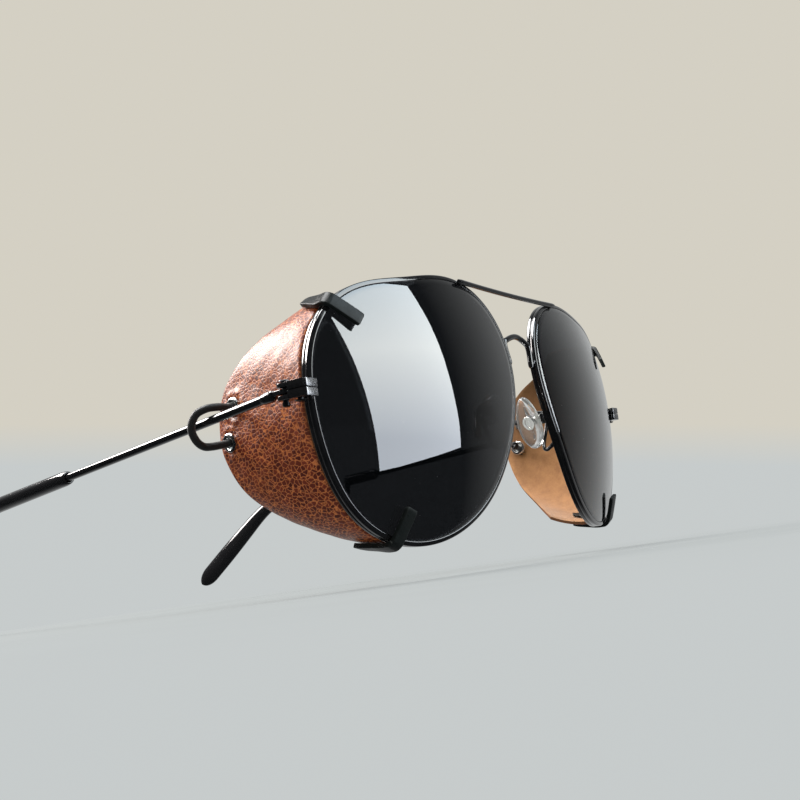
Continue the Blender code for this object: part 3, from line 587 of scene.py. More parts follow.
def lens_look():
    """Smoke-tinted glass with a hard coat, faint smears and a few specks of dust."""
    mat, tree, shader = new_look("smoke_glass", Transmission_Weight=1.0, IOR=1.5,
                                 Coat_Weight=1.0, Coat_IOR=1.7, Coat_Roughness=0.0)
    place = in_mm(tree)
    smear = noise(tree, in_mm(tree, (0.25, 0.25, 1.4)), 0.5, 5.0, 0.7)
    dust = add(tree, "TexVoronoi", (("Vector", place), ("Scale", 0.45), ("Randomness", 1.0)))
    speck = remap(tree, dust.outputs["Distance"], 0.030, 0.022, 0.0, 1.0)
    colour = blend_colours(tree, speck, (0.017, 0.018, 0.020), (0.40, 0.40, 0.38))
    roughness = add_values(tree, remap(tree, smear, 0.45, 0.8, 0.0, 0.035),
                               remap(tree, speck, 0.0, 1.0, 0.0, 0.5))
    finish_look(tree, shader, colour, roughness)
    return mat


def pad_look():
    """Clear soft plastic, a little milky."""
    mat, tree, shader = new_look("clear_pad", Transmission_Weight=0.92, IOR=1.42,
                                 Subsurface_Radius=(0.002, 0.002, 0.002))
    place = in_mm(tree)
    cloud = noise(tree, place, 0.4)
    colour = blend_colours(tree, cloud, (0.90, 0.91, 0.90), (0.97, 0.97, 0.96))
    finish_look(tree, shader, colour, spread(tree, cloud, 0.05, 0.16),
                noise(tree, place, 1.5, 2.0), 0.01)
    return mat


def metal_look(name, dark, bright, low, high):
    """Bare metal with fine turning marks."""
    mat, tree, shader = new_look(name, Metallic=1.0)
    place = in_mm(tree)
    cloud = noise(tree, place, 1.2)
    fine = noise(tree, place, 9.0, 2.0)
    finish_look(tree, shader, blend_colours(tree, cloud, dark, bright),
                spread(tree, fine, low, high), fine, 0.006)
    return mat


def sleeve_look():
    """Polished black plastic with hairline scuffs."""
    mat, tree, shader = new_look("black_plastic", Coat_Weight=0.5, Coat_Roughness=0.05)
    scuffs = noise(tree, in_mm(tree, (1.0, 0.2, 1.0)), 0.6, 3.0, 0.6)
    cloud = noise(tree, in_mm(tree), 0.12)
    colour = blend_colours(tree, cloud, (0.007, 0.007, 0.008), (0.013, 0.013, 0.014))
    finish_look(tree, shader, colour, remap(tree, scuffs, 0.45, 0.75, 0.08, 0.16))
    return mat


def cord_look():
    """Elastic cord in a close black braid."""
    mat, tree, shader = new_look("elastic_cord", Sheen_Weight=0.25, Sheen_Roughness=0.4,
                                 Specular_IOR_Level=0.45)
    place = in_mm(tree)
    fibre = noise(tree, place, 7.0, 3.0)
    cloud = noise(tree, place, 0.5)
    colour = blend_colours(tree, fibre, (0.006, 0.006, 0.007), (0.022, 0.022, 0.023))
    finish_look(tree, shader, colour, spread(tree, cloud, 0.38, 0.52), fibre, 0.02)
    return mat


def leather_look():
    """Grain side: dark red-brown pebbles in a thin orange-tan net, waxed to a shine; the pebbles'
    dark colour is partly painted shade and the net's light colour partly a painted highlight.
    """
    mat, tree, shader = new_look("leather_grain", Coat_Weight=0.5, Coat_Roughness=0.36,
                                 Specular_IOR_Level=0.3, Coat_Tint=(1.0, 0.88, 0.84, 1.0))
    place = kept_place(tree)
    drift = add(tree, "TexNoise", (("Vector", place), ("Scale", 0.7), ("Detail", 2.0)))
    warped = add(tree, "VectorMath", ((0, drift.outputs["Color"]), (1, (0.9, 0.9, 0.9)),
                                      (2, place)), operation="MULTIPLY_ADD").outputs[0]
    leaned = add(tree, "Mapping", (("Vector", warped), ("Rotation", (PEBBLE_LEAN, 0, 0)),
                                   ("Scale", (0.8, 0.82, 1.2)))).outputs[0]
    sockets = (("Vector", leaned), ("Scale", 1 / PEBBLE), ("Randomness", 0.8))
    gap = add(tree, "TexVoronoi", sockets, feature="DISTANCE_TO_EDGE").outputs["Distance"]
    own = add(tree, "TexVoronoi", sockets).outputs["Color"]
    tone = add(tree, "SeparateXYZ", (("Vector", own),)).outputs["X"]
    patch = noise(tree, place, 0.10, 3.0)
    fine = noise(tree, place, 5.5, 3.0)
    # painted shade and highlight: the dark pebble colour is partly shade painted into the cells,
    # the light net colour partly a highlight painted onto the net; both are also the leather's
    # own two tones
    cell_colour_and_painted_shade = blend_colours(tree, tone, (0.078, 0.0065, 0.0008), (0.180, 0.024, 0.0030))
    net_colour_and_painted_highlight = blend_colours(tree, fine, (0.44, 0.115, 0.022), (0.70, 0.245, 0.065))
    colour = blend_colours(tree, remap(tree, gap, 0.01, 0.10, 0.95, 0.0), cell_colour_and_painted_shade, net_colour_and_painted_highlight)
    warm = blend_colours(tree, tone, (0.19, 0.040, 0.006), (0.29, 0.080, 0.015))
    colour = blend_colours(tree, remap(tree, patch, 0.45, 0.75, 0.0, 0.35), colour, warm)
    roughness = add_values(tree, spread(tree, fine, 0.38, 0.48),
                               remap(tree, gap, 0.0, 0.15, -0.04, 0.03))
    domes = remap(tree, gap, 0.0, 0.22, 0.0, 1.0)
    height = add_values(tree, domes, remap(tree, fine, 0.0, 1.0, 0.0, 0.25))
    finish_look(tree, shader, colour, roughness, height, 0.045)
    return mat


def suede_look():
    """Flesh side: tan nap, brushed in patches, with painted shade darkening it towards the top.
    """
    mat, tree, shader = new_look("leather_suede", Sheen_Weight=0.35, Sheen_Roughness=0.5,
                                 Specular_IOR_Level=0.2)
    place = kept_place(tree)
    nap = noise(tree, place, 0.35, 5.0, 0.65)
    fibre = noise(tree, kept_place(tree, (6.0, 2.2, 6.0)), 1.0, 4.0, 0.7)
    height = add(tree, "SeparateXYZ", (("Vector", place),)).outputs["Z"]
    # painted shade: the suede is blended towards dark brown higher up the shield
    upper = remap(tree, height, -8.0, 14.0, 0.0, 0.75)
    colour = blend_colours(tree, spread(tree, nap, 0.0, 1.0),
                           (0.20, 0.086, 0.029), (0.37, 0.178, 0.068))
    colour = blend_colours(tree, upper, colour, (0.085, 0.034, 0.008))
    colour = blend_colours(tree, remap(tree, fibre, 0.35, 0.75, 0.0, 0.45), colour,
                           (0.42, 0.22, 0.095))
    finish_look(tree, shader, colour, spread(tree, nap, 0.82, 0.98), fibre, 0.07)
    return mat


def cut_edge_look():
    """The leather's cut edge: packed fibres in dark and mid browns."""
    mat, tree, shader = new_look("leather_cut_edge", Specular_IOR_Level=0.3)
    fibre = noise(tree, kept_place(tree), 6.0, 4.0, 0.7)
    colour = blend_colours(tree, fibre, (0.10, 0.030, 0.010), (0.30, 0.135, 0.055))
    finish_look(tree, shader, colour, spread(tree, fibre, 0.6, 0.9), fibre, 0.06)
    return mat


LACQUER = lacquer_look()
SPRING = spring_look()
SMOKE = lens_look()
CLEAR = pad_look()
SCREW_STEEL = metal_look("screw_steel", (0.10, 0.10, 0.11), (0.24, 0.24, 0.25), 0.28, 0.45)
EYELET_METAL = metal_look("eyelet_nickel", (0.74, 0.73, 0.70), (0.95, 0.95, 0.93), 0.14, 0.28)
WORN_LOCK = metal_look("worn_lock", (0.20, 0.20, 0.21), (0.46, 0.46, 0.47), 0.16, 0.32)
PLASTIC = sleeve_look()
ELASTIC = cord_look()
GRAIN = leather_look()
SUEDE = suede_look()
CUT_EDGE = cut_edge_look()

# Each kind of piece: its CAD node, its body, its slot, the angle in degrees from which an
# edge is sharp, and its materials. The leather has no body: it spans the front and a temple.
PIECES = {
    "eyewire": ("rim", "front", "black_wire", 50, [LACQUER]),
    "smoke_lens": ("lens", "front", "smoke_lens", 40, [SMOKE]),
    "brow_wire": ("brow_bar", "front", "black_wire", 50, [LACQUER]),
    "bridge_wire": ("bridge", "front", "black_wire", 50, [LACQUER]),
    "rim_lock": ("end_piece", "front", "black_wire", 32, [LACQUER, WORN_LOCK]),
    "hinge_pin": ("hinge_screw", "front", "screw_steel", 30, [SCREW_STEEL]),
    "lock_screw": ("rim_lock_screw", "front", "screw_steel", 30, [SCREW_STEEL]),
    "hinge_leaf": ("hinge_tongue", "temple", "black_wire", 40, [LACQUER]),
    "temple_rod": ("temple_wire", "temple", "black_wire", 50, [LACQUER]),
    "temple_tip": ("temple_sleeve", "temple", "black_sleeve", 60, [PLASTIC]),
    "pad_bracket": ("pad_arm", "front", "black_wire", 40, [LACQUER]),
    "pad_box_screw": ("pad_screw", "front", "screw_steel", 30, [SCREW_STEEL]),
    "pad_core": ("pad_insert", "nose_pad", "screw_steel", 35, [EYELET_METAL]),
    "pad_cushion": ("nose_pad", "nose_pad", "clear_pad", 60, [CLEAR]),
    "side_shield": ("shield_leather", None, "brown_leather", 60, [GRAIN, SUEDE, CUT_EDGE]),
    "eyelet_ring": ("eyelet", "temple", "eyelet_metal", 50, [EYELET_METAL]),
    "shield_cord": ("cord_loop", "temple", "elastic_cord", 60, [ELASTIC]),
    "knot": ("cord_knot", "temple", "elastic_cord", 60, [ELASTIC]),
    "clip_strip": ("shield_clip", "front", "black_spring_strip", 40, [SPRING]),
    "clip_grip": ("clip_leaf", "front", "black_spring_strip", 40, [SPRING]),
}


def keep_places(obj, places):
    """Store design millimetres on a mesh's points, for textures that follow it."""
    attribute = obj.data.attributes.new("place", "FLOAT_VECTOR", "POINT")
    attribute.data.foreach_set("vector", np.asarray(places, np.float32).ravel())


# ---------------------------------------------------------------- front

def make_rim(side):
    """Eyewire: a channel that holds the lens, with a shallow groove round its outside."""
    outline = ((RIM_LIP, -RIM_HALF_DEPTH), (RIM_OUTER, -RIM_HALF_DEPTH),
               (RIM_OUTER, -RIM_LINE_HALF), (RIM_OUTER - RIM_LINE_DEPTH, 0.0),
               (RIM_OUTER, RIM_LINE_HALF), (RIM_OUTER, RIM_HALF_DEPTH),
               (RIM_LIP, RIM_HALF_DEPTH), (RIM_LIP, RIM_GROOVE_HALF), (RIM_GROOVE, 0.0),
               (RIM_LIP, -RIM_GROOVE_HALF))
    section = rounded(outline, 0.26, 5)
    stations = 240
    bm = bmesh.new()
    skin(bm, side, [[on_rim(2 * pi * k / stations, out, depth) for out, depth in section]
                    for k in range(stations)], closed=True)
    piece("eyewire", side, bm)


def make_lens(side):
    """Curved lens, ground to a V that sits in the rim's groove."""
    half = LENS_THICK / 2
    edge = RIM_LIP - 0.04
    back = [(RIM_GROOVE - 0.12, 0.0), (edge, 0.35), (edge, half - 0.14),
            (edge - 0.05, half - 0.04), (edge - LENS_CHAMFER, half)]
    profile = [(out, -depth) for out, depth in reversed(back[1:])] + back
    angles = [2 * pi * k / 192 for k in range(192)]
    shares = (0.04, 0.15, 0.3, 0.45, 0.6, 0.72, 0.82, 0.9, 0.96)

    def face_rings(depth):
        """Rings of one face, from its middle outwards."""
        result = []
        for share in shares:
            radii = [(outline_radius(a) + edge - LENS_CHAMFER) * share for a in angles]
            result.append([on_lens(radius * cos(a), radius * sin(a), depth)
                           for a, radius in zip(angles, radii)])
        return result

    rings = face_rings(-half)
    rings += [[on_rim(a, out, depth) for a in angles] for out, depth in profile]
    rings += reversed(face_rings(half))
    bm = bmesh.new()
    skin(bm, side, rings)
    piece("smoke_lens", side, bm)


def rim_top(x):
    """Outside of the rim's upper edge at a design x."""
    return min((on_rim(radians(a / 2), RIM_OUTER, 0) for a in range(120, 350)),
               key=lambda point: abs(point.x - x))


def make_brow_bar():
    """Wire across the tops of the rims, with a soldered seat at each end."""
    y = rim_top(BROW_HALF_LENGTH).y - RIM_HALF_DEPTH - GAP - BROW_RADIUS
    route = []
    for share in (-1.0, -0.6, -0.2, 0.2, 0.6, 1.0):
        route.append(Vector((share * BROW_HALF_LENGTH, y,
                             BROW_Z + 0.3 * (share * share - 1.0))))
    route = smooth_curve(route, 10)
    sizes = [1.0] * len(route)
    sizes[0] = sizes[-1] = 0.82
    bm = bmesh.new()
    tube(bm, 1, route, BROW_RADIUS, 24, sizes)
    for end in (-1, 1):
        seat = Vector((end * (BROW_HALF_LENGTH - 1.1), y + BROW_RADIUS * 0.55, BROW_Z - 0.1))
        turned(bm, 1, seat, (0, 1, 0), ((-0.25, 0.35), (-0.1, 0.62), (0.35, 0.70),
                                        (0.62, 0.74), (0.64, 0.5)), 20)
    piece("brow_wire", 0, bm)


def make_bridge():
    """Arched wire whose feet are soldered beside the two rims."""
    gap = RIM_OUTER + BRIDGE_RADIUS + GAP
    low = on_rim(radians(164), gap, 0.0)
    high = on_rim(radians(156), gap, 0.0)
    half = [low, high, Vector((high.x * 0.72, high.y, BRIDGE_TOP_Z - 1.0))]
    route = half + [Vector((0.0, high.y, BRIDGE_TOP_Z))]
    route += [Vector((-point.x, point.y, point.z)) for point in reversed(half)]
    points = smooth_curve(route, 12)
    sizes = [1.0] * len(points)
    sizes[0] = sizes[-1] = 0.7
    sizes[1] = sizes[-2] = 0.93
    bm = bmesh.new()
    tube(bm, 1, points, BRIDGE_RADIUS, 24, sizes)
    for end in (-1, 1):
        seat = on_rim(radians(161), RIM_OUTER + 0.05, 0.0)
        toward = low - seat
        turned(bm, 1, Vector((end * seat.x, seat.y, seat.z)),
               (end * toward.x, toward.y, toward.z),
               ((-0.04, 0.75), (0.1, 0.72), (0.45, 0.55), (0.7, 0.5)), 20)
    piece("bridge_wire", 0, bm)


# ---------------------------------------------------------------- hinges and temples

def disc_outline(centre_x, centre_y, radius, start, end, count):
    """Plan points on an arc round a centre, from one angle to another."""
    return [(centre_x + radius * cos(start + (end - start) * k / count),
             centre_y + radius * sin(start + (end - start) * k / count))
            for k in range(count + 1)]


def cut_slot(obj, side, start, direction, size, length):
    """Cut a straight slot of a (half width, half depth) size into a piece."""
    forward = Vector(direction).normalized()
    across = Vector((0, 0, 1)) if abs(forward.z) < 0.5 else Vector((1, 0, 0))
    across = (across - forward * across.dot(forward)).normalized()
    other = forward.cross(across)
    rings = [[Vector(start) + forward * along + across * (a * size[0]) + other * (b * size[1])
              for a, b in ((-1, -1), (1, -1), (1, 1), (-1, 1))] for along in (0, length)]
    bm = bmesh.new()
    skin(bm, side, rings)
    mesh = new_mesh("tool", bm)
    tool = link("tool", mesh)
    modifier = obj.modifiers.new("cut", "BOOLEAN")
    modifier.operation = "DIFFERENCE"
    modifier.solver = "EXACT"
    modifier.object = tool
    bpy.context.view_layer.update()
    depsgraph = bpy.context.evaluated_depsgraph_get()
    result = bpy.data.meshes.new_from_object(obj.evaluated_get(depsgraph))
    obj.modifiers.clear()
    old = obj.data
    obj.data = result
    result.name = old.name
    result.set_sharp_from_angle(angle=radians(35))
    bpy.data.meshes.remove(old)
    bpy.data.objects.remove(tool)
    bpy.data.meshes.remove(mesh)


def make_end_piece(side):
    """Rim lock: a plate on the rim's front, a block beside it and two knuckles behind."""
    low = HINGE.z - BLOCK_HALF_HEIGHT
    high = HINGE.z + BLOCK_HALF_HEIGHT
    inner_x, outer_x = BLOCK_X
    plate_y = BLOCK_FRONT_Y + 0.9
    plate = rounded(((PLATE_INNER_X, BLOCK_FRONT_Y), (outer_x - 0.6, BLOCK_FRONT_Y),
                     (outer_x, BLOCK_FRONT_Y + 0.6), (outer_x, BLOCK_BACK_Y),
                     (inner_x, BLOCK_BACK_Y), (inner_x, plate_y + 0.15),
                     (PLATE_INNER_X, plate_y)), 0.18, 4)
    knuckle = disc_outline(HINGE.x, HINGE.y, KNUCKLE_RADIUS, pi, 0, 24)
    knuckle += [(HINGE.x + KNUCKLE_RADIUS, BLOCK_BACK_Y - 0.3),
                (HINGE.x - KNUCKLE_RADIUS, BLOCK_BACK_Y - 0.3)]
    inner = TONGUE_HALF_HEIGHT + GAP
    bm = bmesh.new()
    prism(bm, side, plate, low, HINGE.z - LOCK_SEAM, 0.13)
    prism(bm, side, plate, HINGE.z + LOCK_SEAM, high, 0.13)
    prism(bm, side, knuckle, HINGE.z + inner, high - 0.05, 0.14)
    prism(bm, side, knuckle, low + 0.05, HINGE.z - inner, 0.14)
    front_y = world(side, (outer_x, BLOCK_FRONT_Y + 0.3, HINGE.z)).y
    for face in bm.faces:
        face.material_index = int(face.calc_center_median().y < front_y)
    piece("rim_lock", side, bm)


def make_screw(kind, side, place, profile, head_at):
    """Turned upright screw with a slot across its head."""
    bm = bmesh.new()
    turned(bm, side, place, (0, 0, 1), profile, 32)
    start = Vector(place) + Vector((0, -SLOT_LENGTH / 2, head_at))
    cut_slot(piece(kind, side, bm), side, start, (0, 1, 0), SLOT_HALF, SLOT_LENGTH)


def make_screws(side):
    foot = -BLOCK_HALF_HEIGHT - GAP
    nut = SCREW_SHANK + 0.2
    head = 2 * SCREW_SHANK
    profile = ((foot - 0.8, SCREW_SHANK - 0.25), (foot - 0.78, SCREW_SHANK - 0.05),
               (foot - 0.66, nut - 0.07), (foot - 0.5, nut), (foot, nut), (foot, SCREW_SHANK),
               (-foot, SCREW_SHANK), (-foot, head - 0.08), (-foot + 0.06, head),
               (-foot + 0.18, head - 0.04), (-foot + 0.3, head - 0.24))
    make_screw("hinge_pin", side, HINGE, profile, -foot + 0.3)
    low = -BLOCK_HALF_HEIGHT
    profile = ((low - 0.65, head - 0.48), (low - 0.60, head - 0.28), (low - 0.45, head - 0.1),
               (low - GAP, head), (low - GAP, SCREW_SHANK), (-low - 0.2, SCREW_SHANK))
    make_screw("lock_screw", side, (HINGE.x, LOCK_SCREW_Y, HINGE.z), profile, low - 0.65)


def make_tongue(side):
    """Temple's hinge leaf: an eye between the knuckles, and the barrel on the wire's end."""
    eye = disc_outline(HINGE.x, HINGE.y, EYE_RADIUS, radians(-30), radians(-150), 20)
    neck = BARREL_RADIUS - 0.2
    barrel_y = WIRE_START_Y - BARREL_LENGTH + 1.05
    eye += [(HINGE.x - EYE_RADIUS, HINGE.y), (HINGE.x - neck - 0.05, HINGE.y + 1.9),
            (HINGE.x - neck, barrel_y), (HINGE.x + neck, barrel_y),
            (HINGE.x + neck + 0.05, HINGE.y + 1.9), (HINGE.x + EYE_RADIUS, HINGE.y)]
    bm = bmesh.new()
    prism(bm, side, rounded(eye, 0.2, 3), HINGE.z - TONGUE_HALF_HEIGHT,
          HINGE.z + TONGUE_HALF_HEIGHT, 0.1)
    wire_end = temple_point(0)
    direction = temple_heading(0)
    wide = BARREL_RADIUS
    turned(bm, side, wire_end - direction * BARREL_LENGTH, direction,
           ((0, wide - 0.4), (0.08, wide - 0.23), (0.35, wide - 0.05), (0.6, wide),
            (2.3, wide), (2.6, wide - 0.03), (2.9, wide - 0.09), (BARREL_LENGTH, wide - 0.16)),
           28)
    piece("hinge_leaf", side, bm)


def make_temple_wire(side):
    count = 150
    end = SLEEVE_BORE_END - 0.6
    points = [temple_point(end * k / count) for k in range(count + 1)]
    bm = bmesh.new()
    tube(bm, side, points, WIRE_RADIUS, 28)
    piece("temple_rod", side, bm)


def make_sleeve(side):
    """Plastic tip moulded over the wire, flattening into a paddle behind the ear."""
    start = [SLEEVE_START + SLEEVE_NOSE * (1 - cos(pi / 2 * k / 9)) for k in range(10)]
    middle = [SLEEVE_START + SLEEVE_NOSE + 0.9 * k for k in range(1, 91)]
    end = [SLEEVE_END - SLEEVE_TAIL * (1 - sin(pi / 2 * k / 14)) for k in range(14)]
    rings = []

    def section(along, height, thick):
        forward = temple_heading(along)
        lateral = Vector((forward.y, -forward.x, 0.0)).normalized()
        return ring(temple_point(along), lateral, forward.cross(lateral), thick, height, 32)

    bore = WIRE_RADIUS + 0.06
    for along in (SLEEVE_START + 4.0, SLEEVE_START + 1.0, SLEEVE_START + 0.15):
        rings.append(section(along, bore, bore))
    rings.append(section(SLEEVE_START, bore + 0.1, bore + 0.1))
    middle = [along for along in middle if along < SLEEVE_END - SLEEVE_TAIL - 0.3]
    for along in start + middle + end:
        rings.append(section(along, *sleeve_size(along)))
    bm = bmesh.new()
    skin(bm, side, rings)
    piece("temple_tip", side, bm)


# ---------------------------------------------------------------- nose pads

def pad_prism(bm, side, outline, half_along, bevel=0.1):
    """Solid with an (across, lift) outline, reaching half_along both ways along the pad."""
    rings = []
    for along, inset in ((-half_along, bevel), (-half_along + bevel, 0.0),
                         (half_along - bevel, 0.0), (half_along, bevel)):
        rings.append([pad_point(lift, along, across * (1 - inset * 0.3))
                      for across, lift in outline])
    return skin(bm, side, rings)


def make_pad_arm(side):
    """U-shaped box on a bent wire that is soldered behind the rim."""
    half = ((BOX_HALF_WIDTH, 0.0), (BOX_HALF_WIDTH, BOX_HEIGHT), (BOX_INNER, BOX_HEIGHT),
            (BOX_INNER, BOX_FLOOR))
    outline = rounded(half + tuple((-across, lift) for across, lift in reversed(half)), 0.2, 4)
    bm = bmesh.new()
    pad_prism(bm, side, outline, BOX_HALF_LENGTH)
    root = on_rim(ARM_ROOT_ANGLE, 0.2, RIM_HALF_DEPTH + GAP + 0.1)
    route = [root + Vector((0.0, -0.35, 0.05)), root + Vector((0.3, 1.8, -1.0)),
             root + Vector((1.3, 2.9, 0.4)), pad_point(-0.7, 2.2, 0.0), pad_point(0.3, 0.6, 0.0)]
    points = smooth_curve(route, 12)
    sizes = [1.0 + 0.3 * exp(-k / 2.5) for k in range(len(points))]
    tube(bm, side, points, ARM_RADIUS, 20, sizes)
    piece("pad_bracket", side, bm)


def make_pad_screw(side):
    facing, _, screw_axis = pad_axes()
    start = pad_point(PAD_SCREW_LIFT, 0, -2.5)
    profile = ((0.0, 0.45), (0.06, 0.66), (0.18, 0.79), (0.45, 0.80), (0.5, 0.76),
               (0.5, 0.42), (4.2, 0.42), (4.3, 0.3))
    bm = bmesh.new()
    turned(bm, side, start, screw_axis, profile, 28)
    screw = piece("pad_box_screw", side, bm)
    cut_slot(screw, side, start - facing * (PAD_SLOT_LENGTH / 2), facing, PAD_SLOT_HALF,
             PAD_SLOT_LENGTH)


def make_pad_insert(side):
    """Metal tab in the box, with the plate and boss that the pad is moulded round."""
    outline = rounded(((-0.8, 0.9), (0.8, 0.9), (0.8, 2.9), (1.7, 2.9), (1.7, 3.35),
                       (-1.7, 3.35), (-1.7, 2.9), (-0.8, 2.9)), 0.15, 4)
    facing, _, _ = pad_axes()
    bm = bmesh.new()
    pad_prism(bm, side, outline, 0.85)
    turned(bm, side, pad_point(3.2, 0, 0), facing,
           ((0.0, 0.9), (1.2, 0.9), (1.25, 1.55), (1.35, 1.68), (1.6, 1.68), (1.7, 1.6),
            (1.72, 1.0), (1.5, 0.8)), 32)
    piece("pad_core", side, bm)


def make_nose_pad(side):
    """Clear drop-shaped cushion, fuller at its lower end and crowned towards the nose."""
    layers = ((-1.0, 0.28), (-1.0, 0.46), (-0.97, 0.58), (-0.9, 0.70), (-0.75, 0.82),
              (-0.5, 0.92), (-0.25, 0.98), (0.0, 1.0), (0.3, 0.985), (0.55, 0.93), (0.75, 0.84),
              (0.88, 0.72), (0.96, 0.55), (1.0, 0.28))
    rings = []
    for height, scale in layers:
        points = []
        for k in range(64):
            turn = 2 * pi * k / 64
            width = PAD_HALF_WIDTH * (1.0 + 0.14 * cos(turn))
            points.append(pad_point(PAD_LIFT + PAD_HALF_THICK * height,
                                    PAD_HALF_LENGTH * scale * cos(turn),
                                    width * scale * sin(turn)))
        rings.append(points)
    bm = bmesh.new()
    skin(bm, side, rings)
    piece("pad_cushion", side, bm)


# ---------------------------------------------------------------- side shields

LEATHER_ROWS = 240
LEATHER_COLUMNS = 120
LINING_STEP = 3                     # the flesh side has every third row and column
ROW_PITCH = 0.28                    # mm between rows, near enough to ease the edge
EDGE_DROP = 0.30                    # how far the grain falls at the cut edge
EDGE_REACH = 0.22                   # how far in that fall reaches
PUCKER_RISE = 0.20                  # swell of the leather round an eyelet
PUCKER_RADIUS = 2.9
CREASE_RISE = 0.07                  # small folds that run in towards the eyelet
CREASES = 7
EYELET_SINK = 0.16                  # how far the eyelet presses the leather in
WAVE_RISE = 0.05


def add_sheet(bm, verts, columns, holed, material, flipped=False):
    """Faces over rows of points, but for those with a corner in a hole."""
    for start in range(0, len(verts) - columns, columns):
        for k in range(start, start + columns - 1):
            corners = [k, k + columns, k + columns + 1, k + 1]
            if flipped:
                corners.reverse()
            if not holed[corners].any():
                bm.faces.new([verts[c] for c in corners]).material_index = material


def nearest(points, places):
    """Each point's distance to the nearest place, and its offset from that place."""
    away = points[None] - np.array(places)[:, None]
    gaps = np.linalg.norm(away, axis=-1)
    return gaps.min(axis=0), away[gaps.argmin(axis=0), np.arange(len(points))]


def make_leather(side, eyelet_places):
    """Pebbled leather sheet: grain outside, suede inside, holes under the eyelets."""
    half = LEATHER_THICK / 2
    reach = np.linspace(0, 1, LEATHER_COLUMNS + 1)[None, :, None]
    ribs = [shield_rib(i / LEATHER_ROWS) for i in range(LEATHER_ROWS + 1)]
    front, edge, normal = (np.array([rib[part] for rib in ribs])[:, None, :]
                           for part in range(3))
    bow = np.array([rib[3] for rib in ribs])[:, None, None]
    middle = front + (edge - front) * reach + normal * (bow * 4 * reach * (1 - reach))
    outward = np.broadcast_to(normal, middle.shape)
    flat = middle.reshape(-1, 3)

    rows = np.arange(LEATHER_ROWS + 1)[:, None]
    width = np.linalg.norm(edge - front, axis=-1)
    to_end = np.minimum(rows, LEATHER_ROWS - rows) * ROW_PITCH
    to_side = np.minimum(reach[:, :, 0], 1 - reach[:, :, 0]) * width
    border = np.minimum(to_end, to_side).reshape(-1)
    eased = -EDGE_DROP * np.exp(-border / EDGE_REACH)

    from_eyelet, away = nearest(flat, eyelet_places)
    around = np.arctan2(away[:, 2], away[:, 1])
    pucker = PUCKER_RISE * np.exp(-((from_eyelet - PUCKER_RADIUS) / 0.75) ** 2)
    pucker += (CREASE_RISE * np.sin(around * CREASES)
               * np.exp(-((from_eyelet - PUCKER_RADIUS - 0.1) / 0.8) ** 2))
    pucker -= EYELET_SINK * np.exp(-(from_eyelet / 1.9) ** 4)

    calm = ease(border / 1.2) * ease((from_eyelet - 2.1) / 0.9)
    waves = WAVE_RISE * np.sin(flat[:, 1] * 0.9 + flat[:, 2] * 0.5) * np.sin(flat[:, 2] * 0.8)
    outer = flat + outward.reshape(-1, 3) * (half + eased + pucker + waves * calm)[:, None]

    def picked(values):
        """Every third row and column of values given for the grain side."""
        values = values.reshape(LEATHER_ROWS + 1, LEATHER_COLUMNS + 1, -1)
        values = values[::LINING_STEP, ::LINING_STEP]
        return values.reshape(-1, values.shape[-1])

    lining_flat = picked(flat)
    lining_lift = -half + 0.4 * picked(pucker) - 0.5 * picked(eased)
    inner = lining_flat + picked(outward) * lining_lift

    bm = bmesh.new()
    verts = [bm.verts.new(point) for point in world_rows(side, np.concatenate([outer, inner]))]
    columns = LEATHER_COLUMNS + 1
    lining_columns = LEATHER_COLUMNS // LINING_STEP + 1
    count = len(outer)
    add_sheet(bm, verts[:count], columns, from_eyelet < EYELET_BARREL + 0.08, 0)
    lining_gap, _ = nearest(lining_flat, eyelet_places)
    add_sheet(bm, verts[count:], lining_columns, lining_gap < EYELET_BARREL + 0.1, 1, True)

    border_path = [(i, 0) for i in range(0, LEATHER_ROWS)]
    border_path += [(LEATHER_ROWS, j) for j in range(0, LEATHER_COLUMNS)]
    border_path += [(i, LEATHER_COLUMNS) for i in range(LEATHER_ROWS, 0, -1)]
    border_path += [(0, j) for j in range(LEATHER_COLUMNS, 0, -1)]
    for k in range(0, len(border_path), LINING_STEP):
        span = [border_path[(k + step) % len(border_path)] for step in range(LINING_STEP + 1)]
        corners = [i * columns + j for i, j in span]
        corners += [count + i // LINING_STEP * lining_columns + j // LINING_STEP
                    for i, j in (span[-1], span[0])]
        bm.faces.new([verts[c] for c in corners]).material_index = 2
    loose = [vert for vert in bm.verts if not vert.link_faces]
    kept = np.array([bool(vert.link_faces) for vert in bm.verts])
    bmesh.ops.delete(bm, geom=loose, context="VERTS")
    leather = piece("side_shield", side, bm)
    keep_places(leather, np.concatenate([flat, lining_flat])[kept])
    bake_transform(leather)


def make_eyelet(level, side):
    """Nickel ring: a barrel through the leather, rolled over on both faces."""
    share, reach = EYELETS[level]
    seat = LEATHER_THICK / 2 + 0.04
    height = GAP + 0.34
    middle = (EYELET_BORE + EYELET_FLANGE) / 2
    spread = (EYELET_FLANGE - EYELET_BORE) / 2
    outline = []
    for end in (-1, 1):
        for k in range(11):
            turn = pi * k / 10
            outline.append((end * (seat + height * sin(turn)), middle - end * spread * cos(turn)))
    outline += [(seat, EYELET_BARREL), (-seat, EYELET_BARREL)]
    bm = bmesh.new()
    turned(bm, side, shield_point(share, reach, 0.0), shield_rib(share)[2], outline, 48,
           closed=True)
    piece("eyelet_ring", side, bm, "_" + level)


def make_cord(side):
    """Elastic loop from eyelet to eyelet round the temple, in a fine braid."""
    strands = 6
    rings = []
    for k, (point, _, across, other) in enumerate(frames(smooth_curve(cord_route(), 22))):
        loop = []
        for m in range(5 * strands):
            turn = 2 * pi * m / (5 * strands)
            weave = sin(strands * turn + k * 0.9) * sin(strands * turn - k * 0.9)
            size = CORD_RADIUS * (0.985 + 0.018 * weave)
            loop.append(point + across * (size * cos(turn)) + other * (size * sin(turn)))
        rings.append(loop)
    bm = bmesh.new()
    skin(bm, side, rings)
    piece("shield_cord", side, bm)


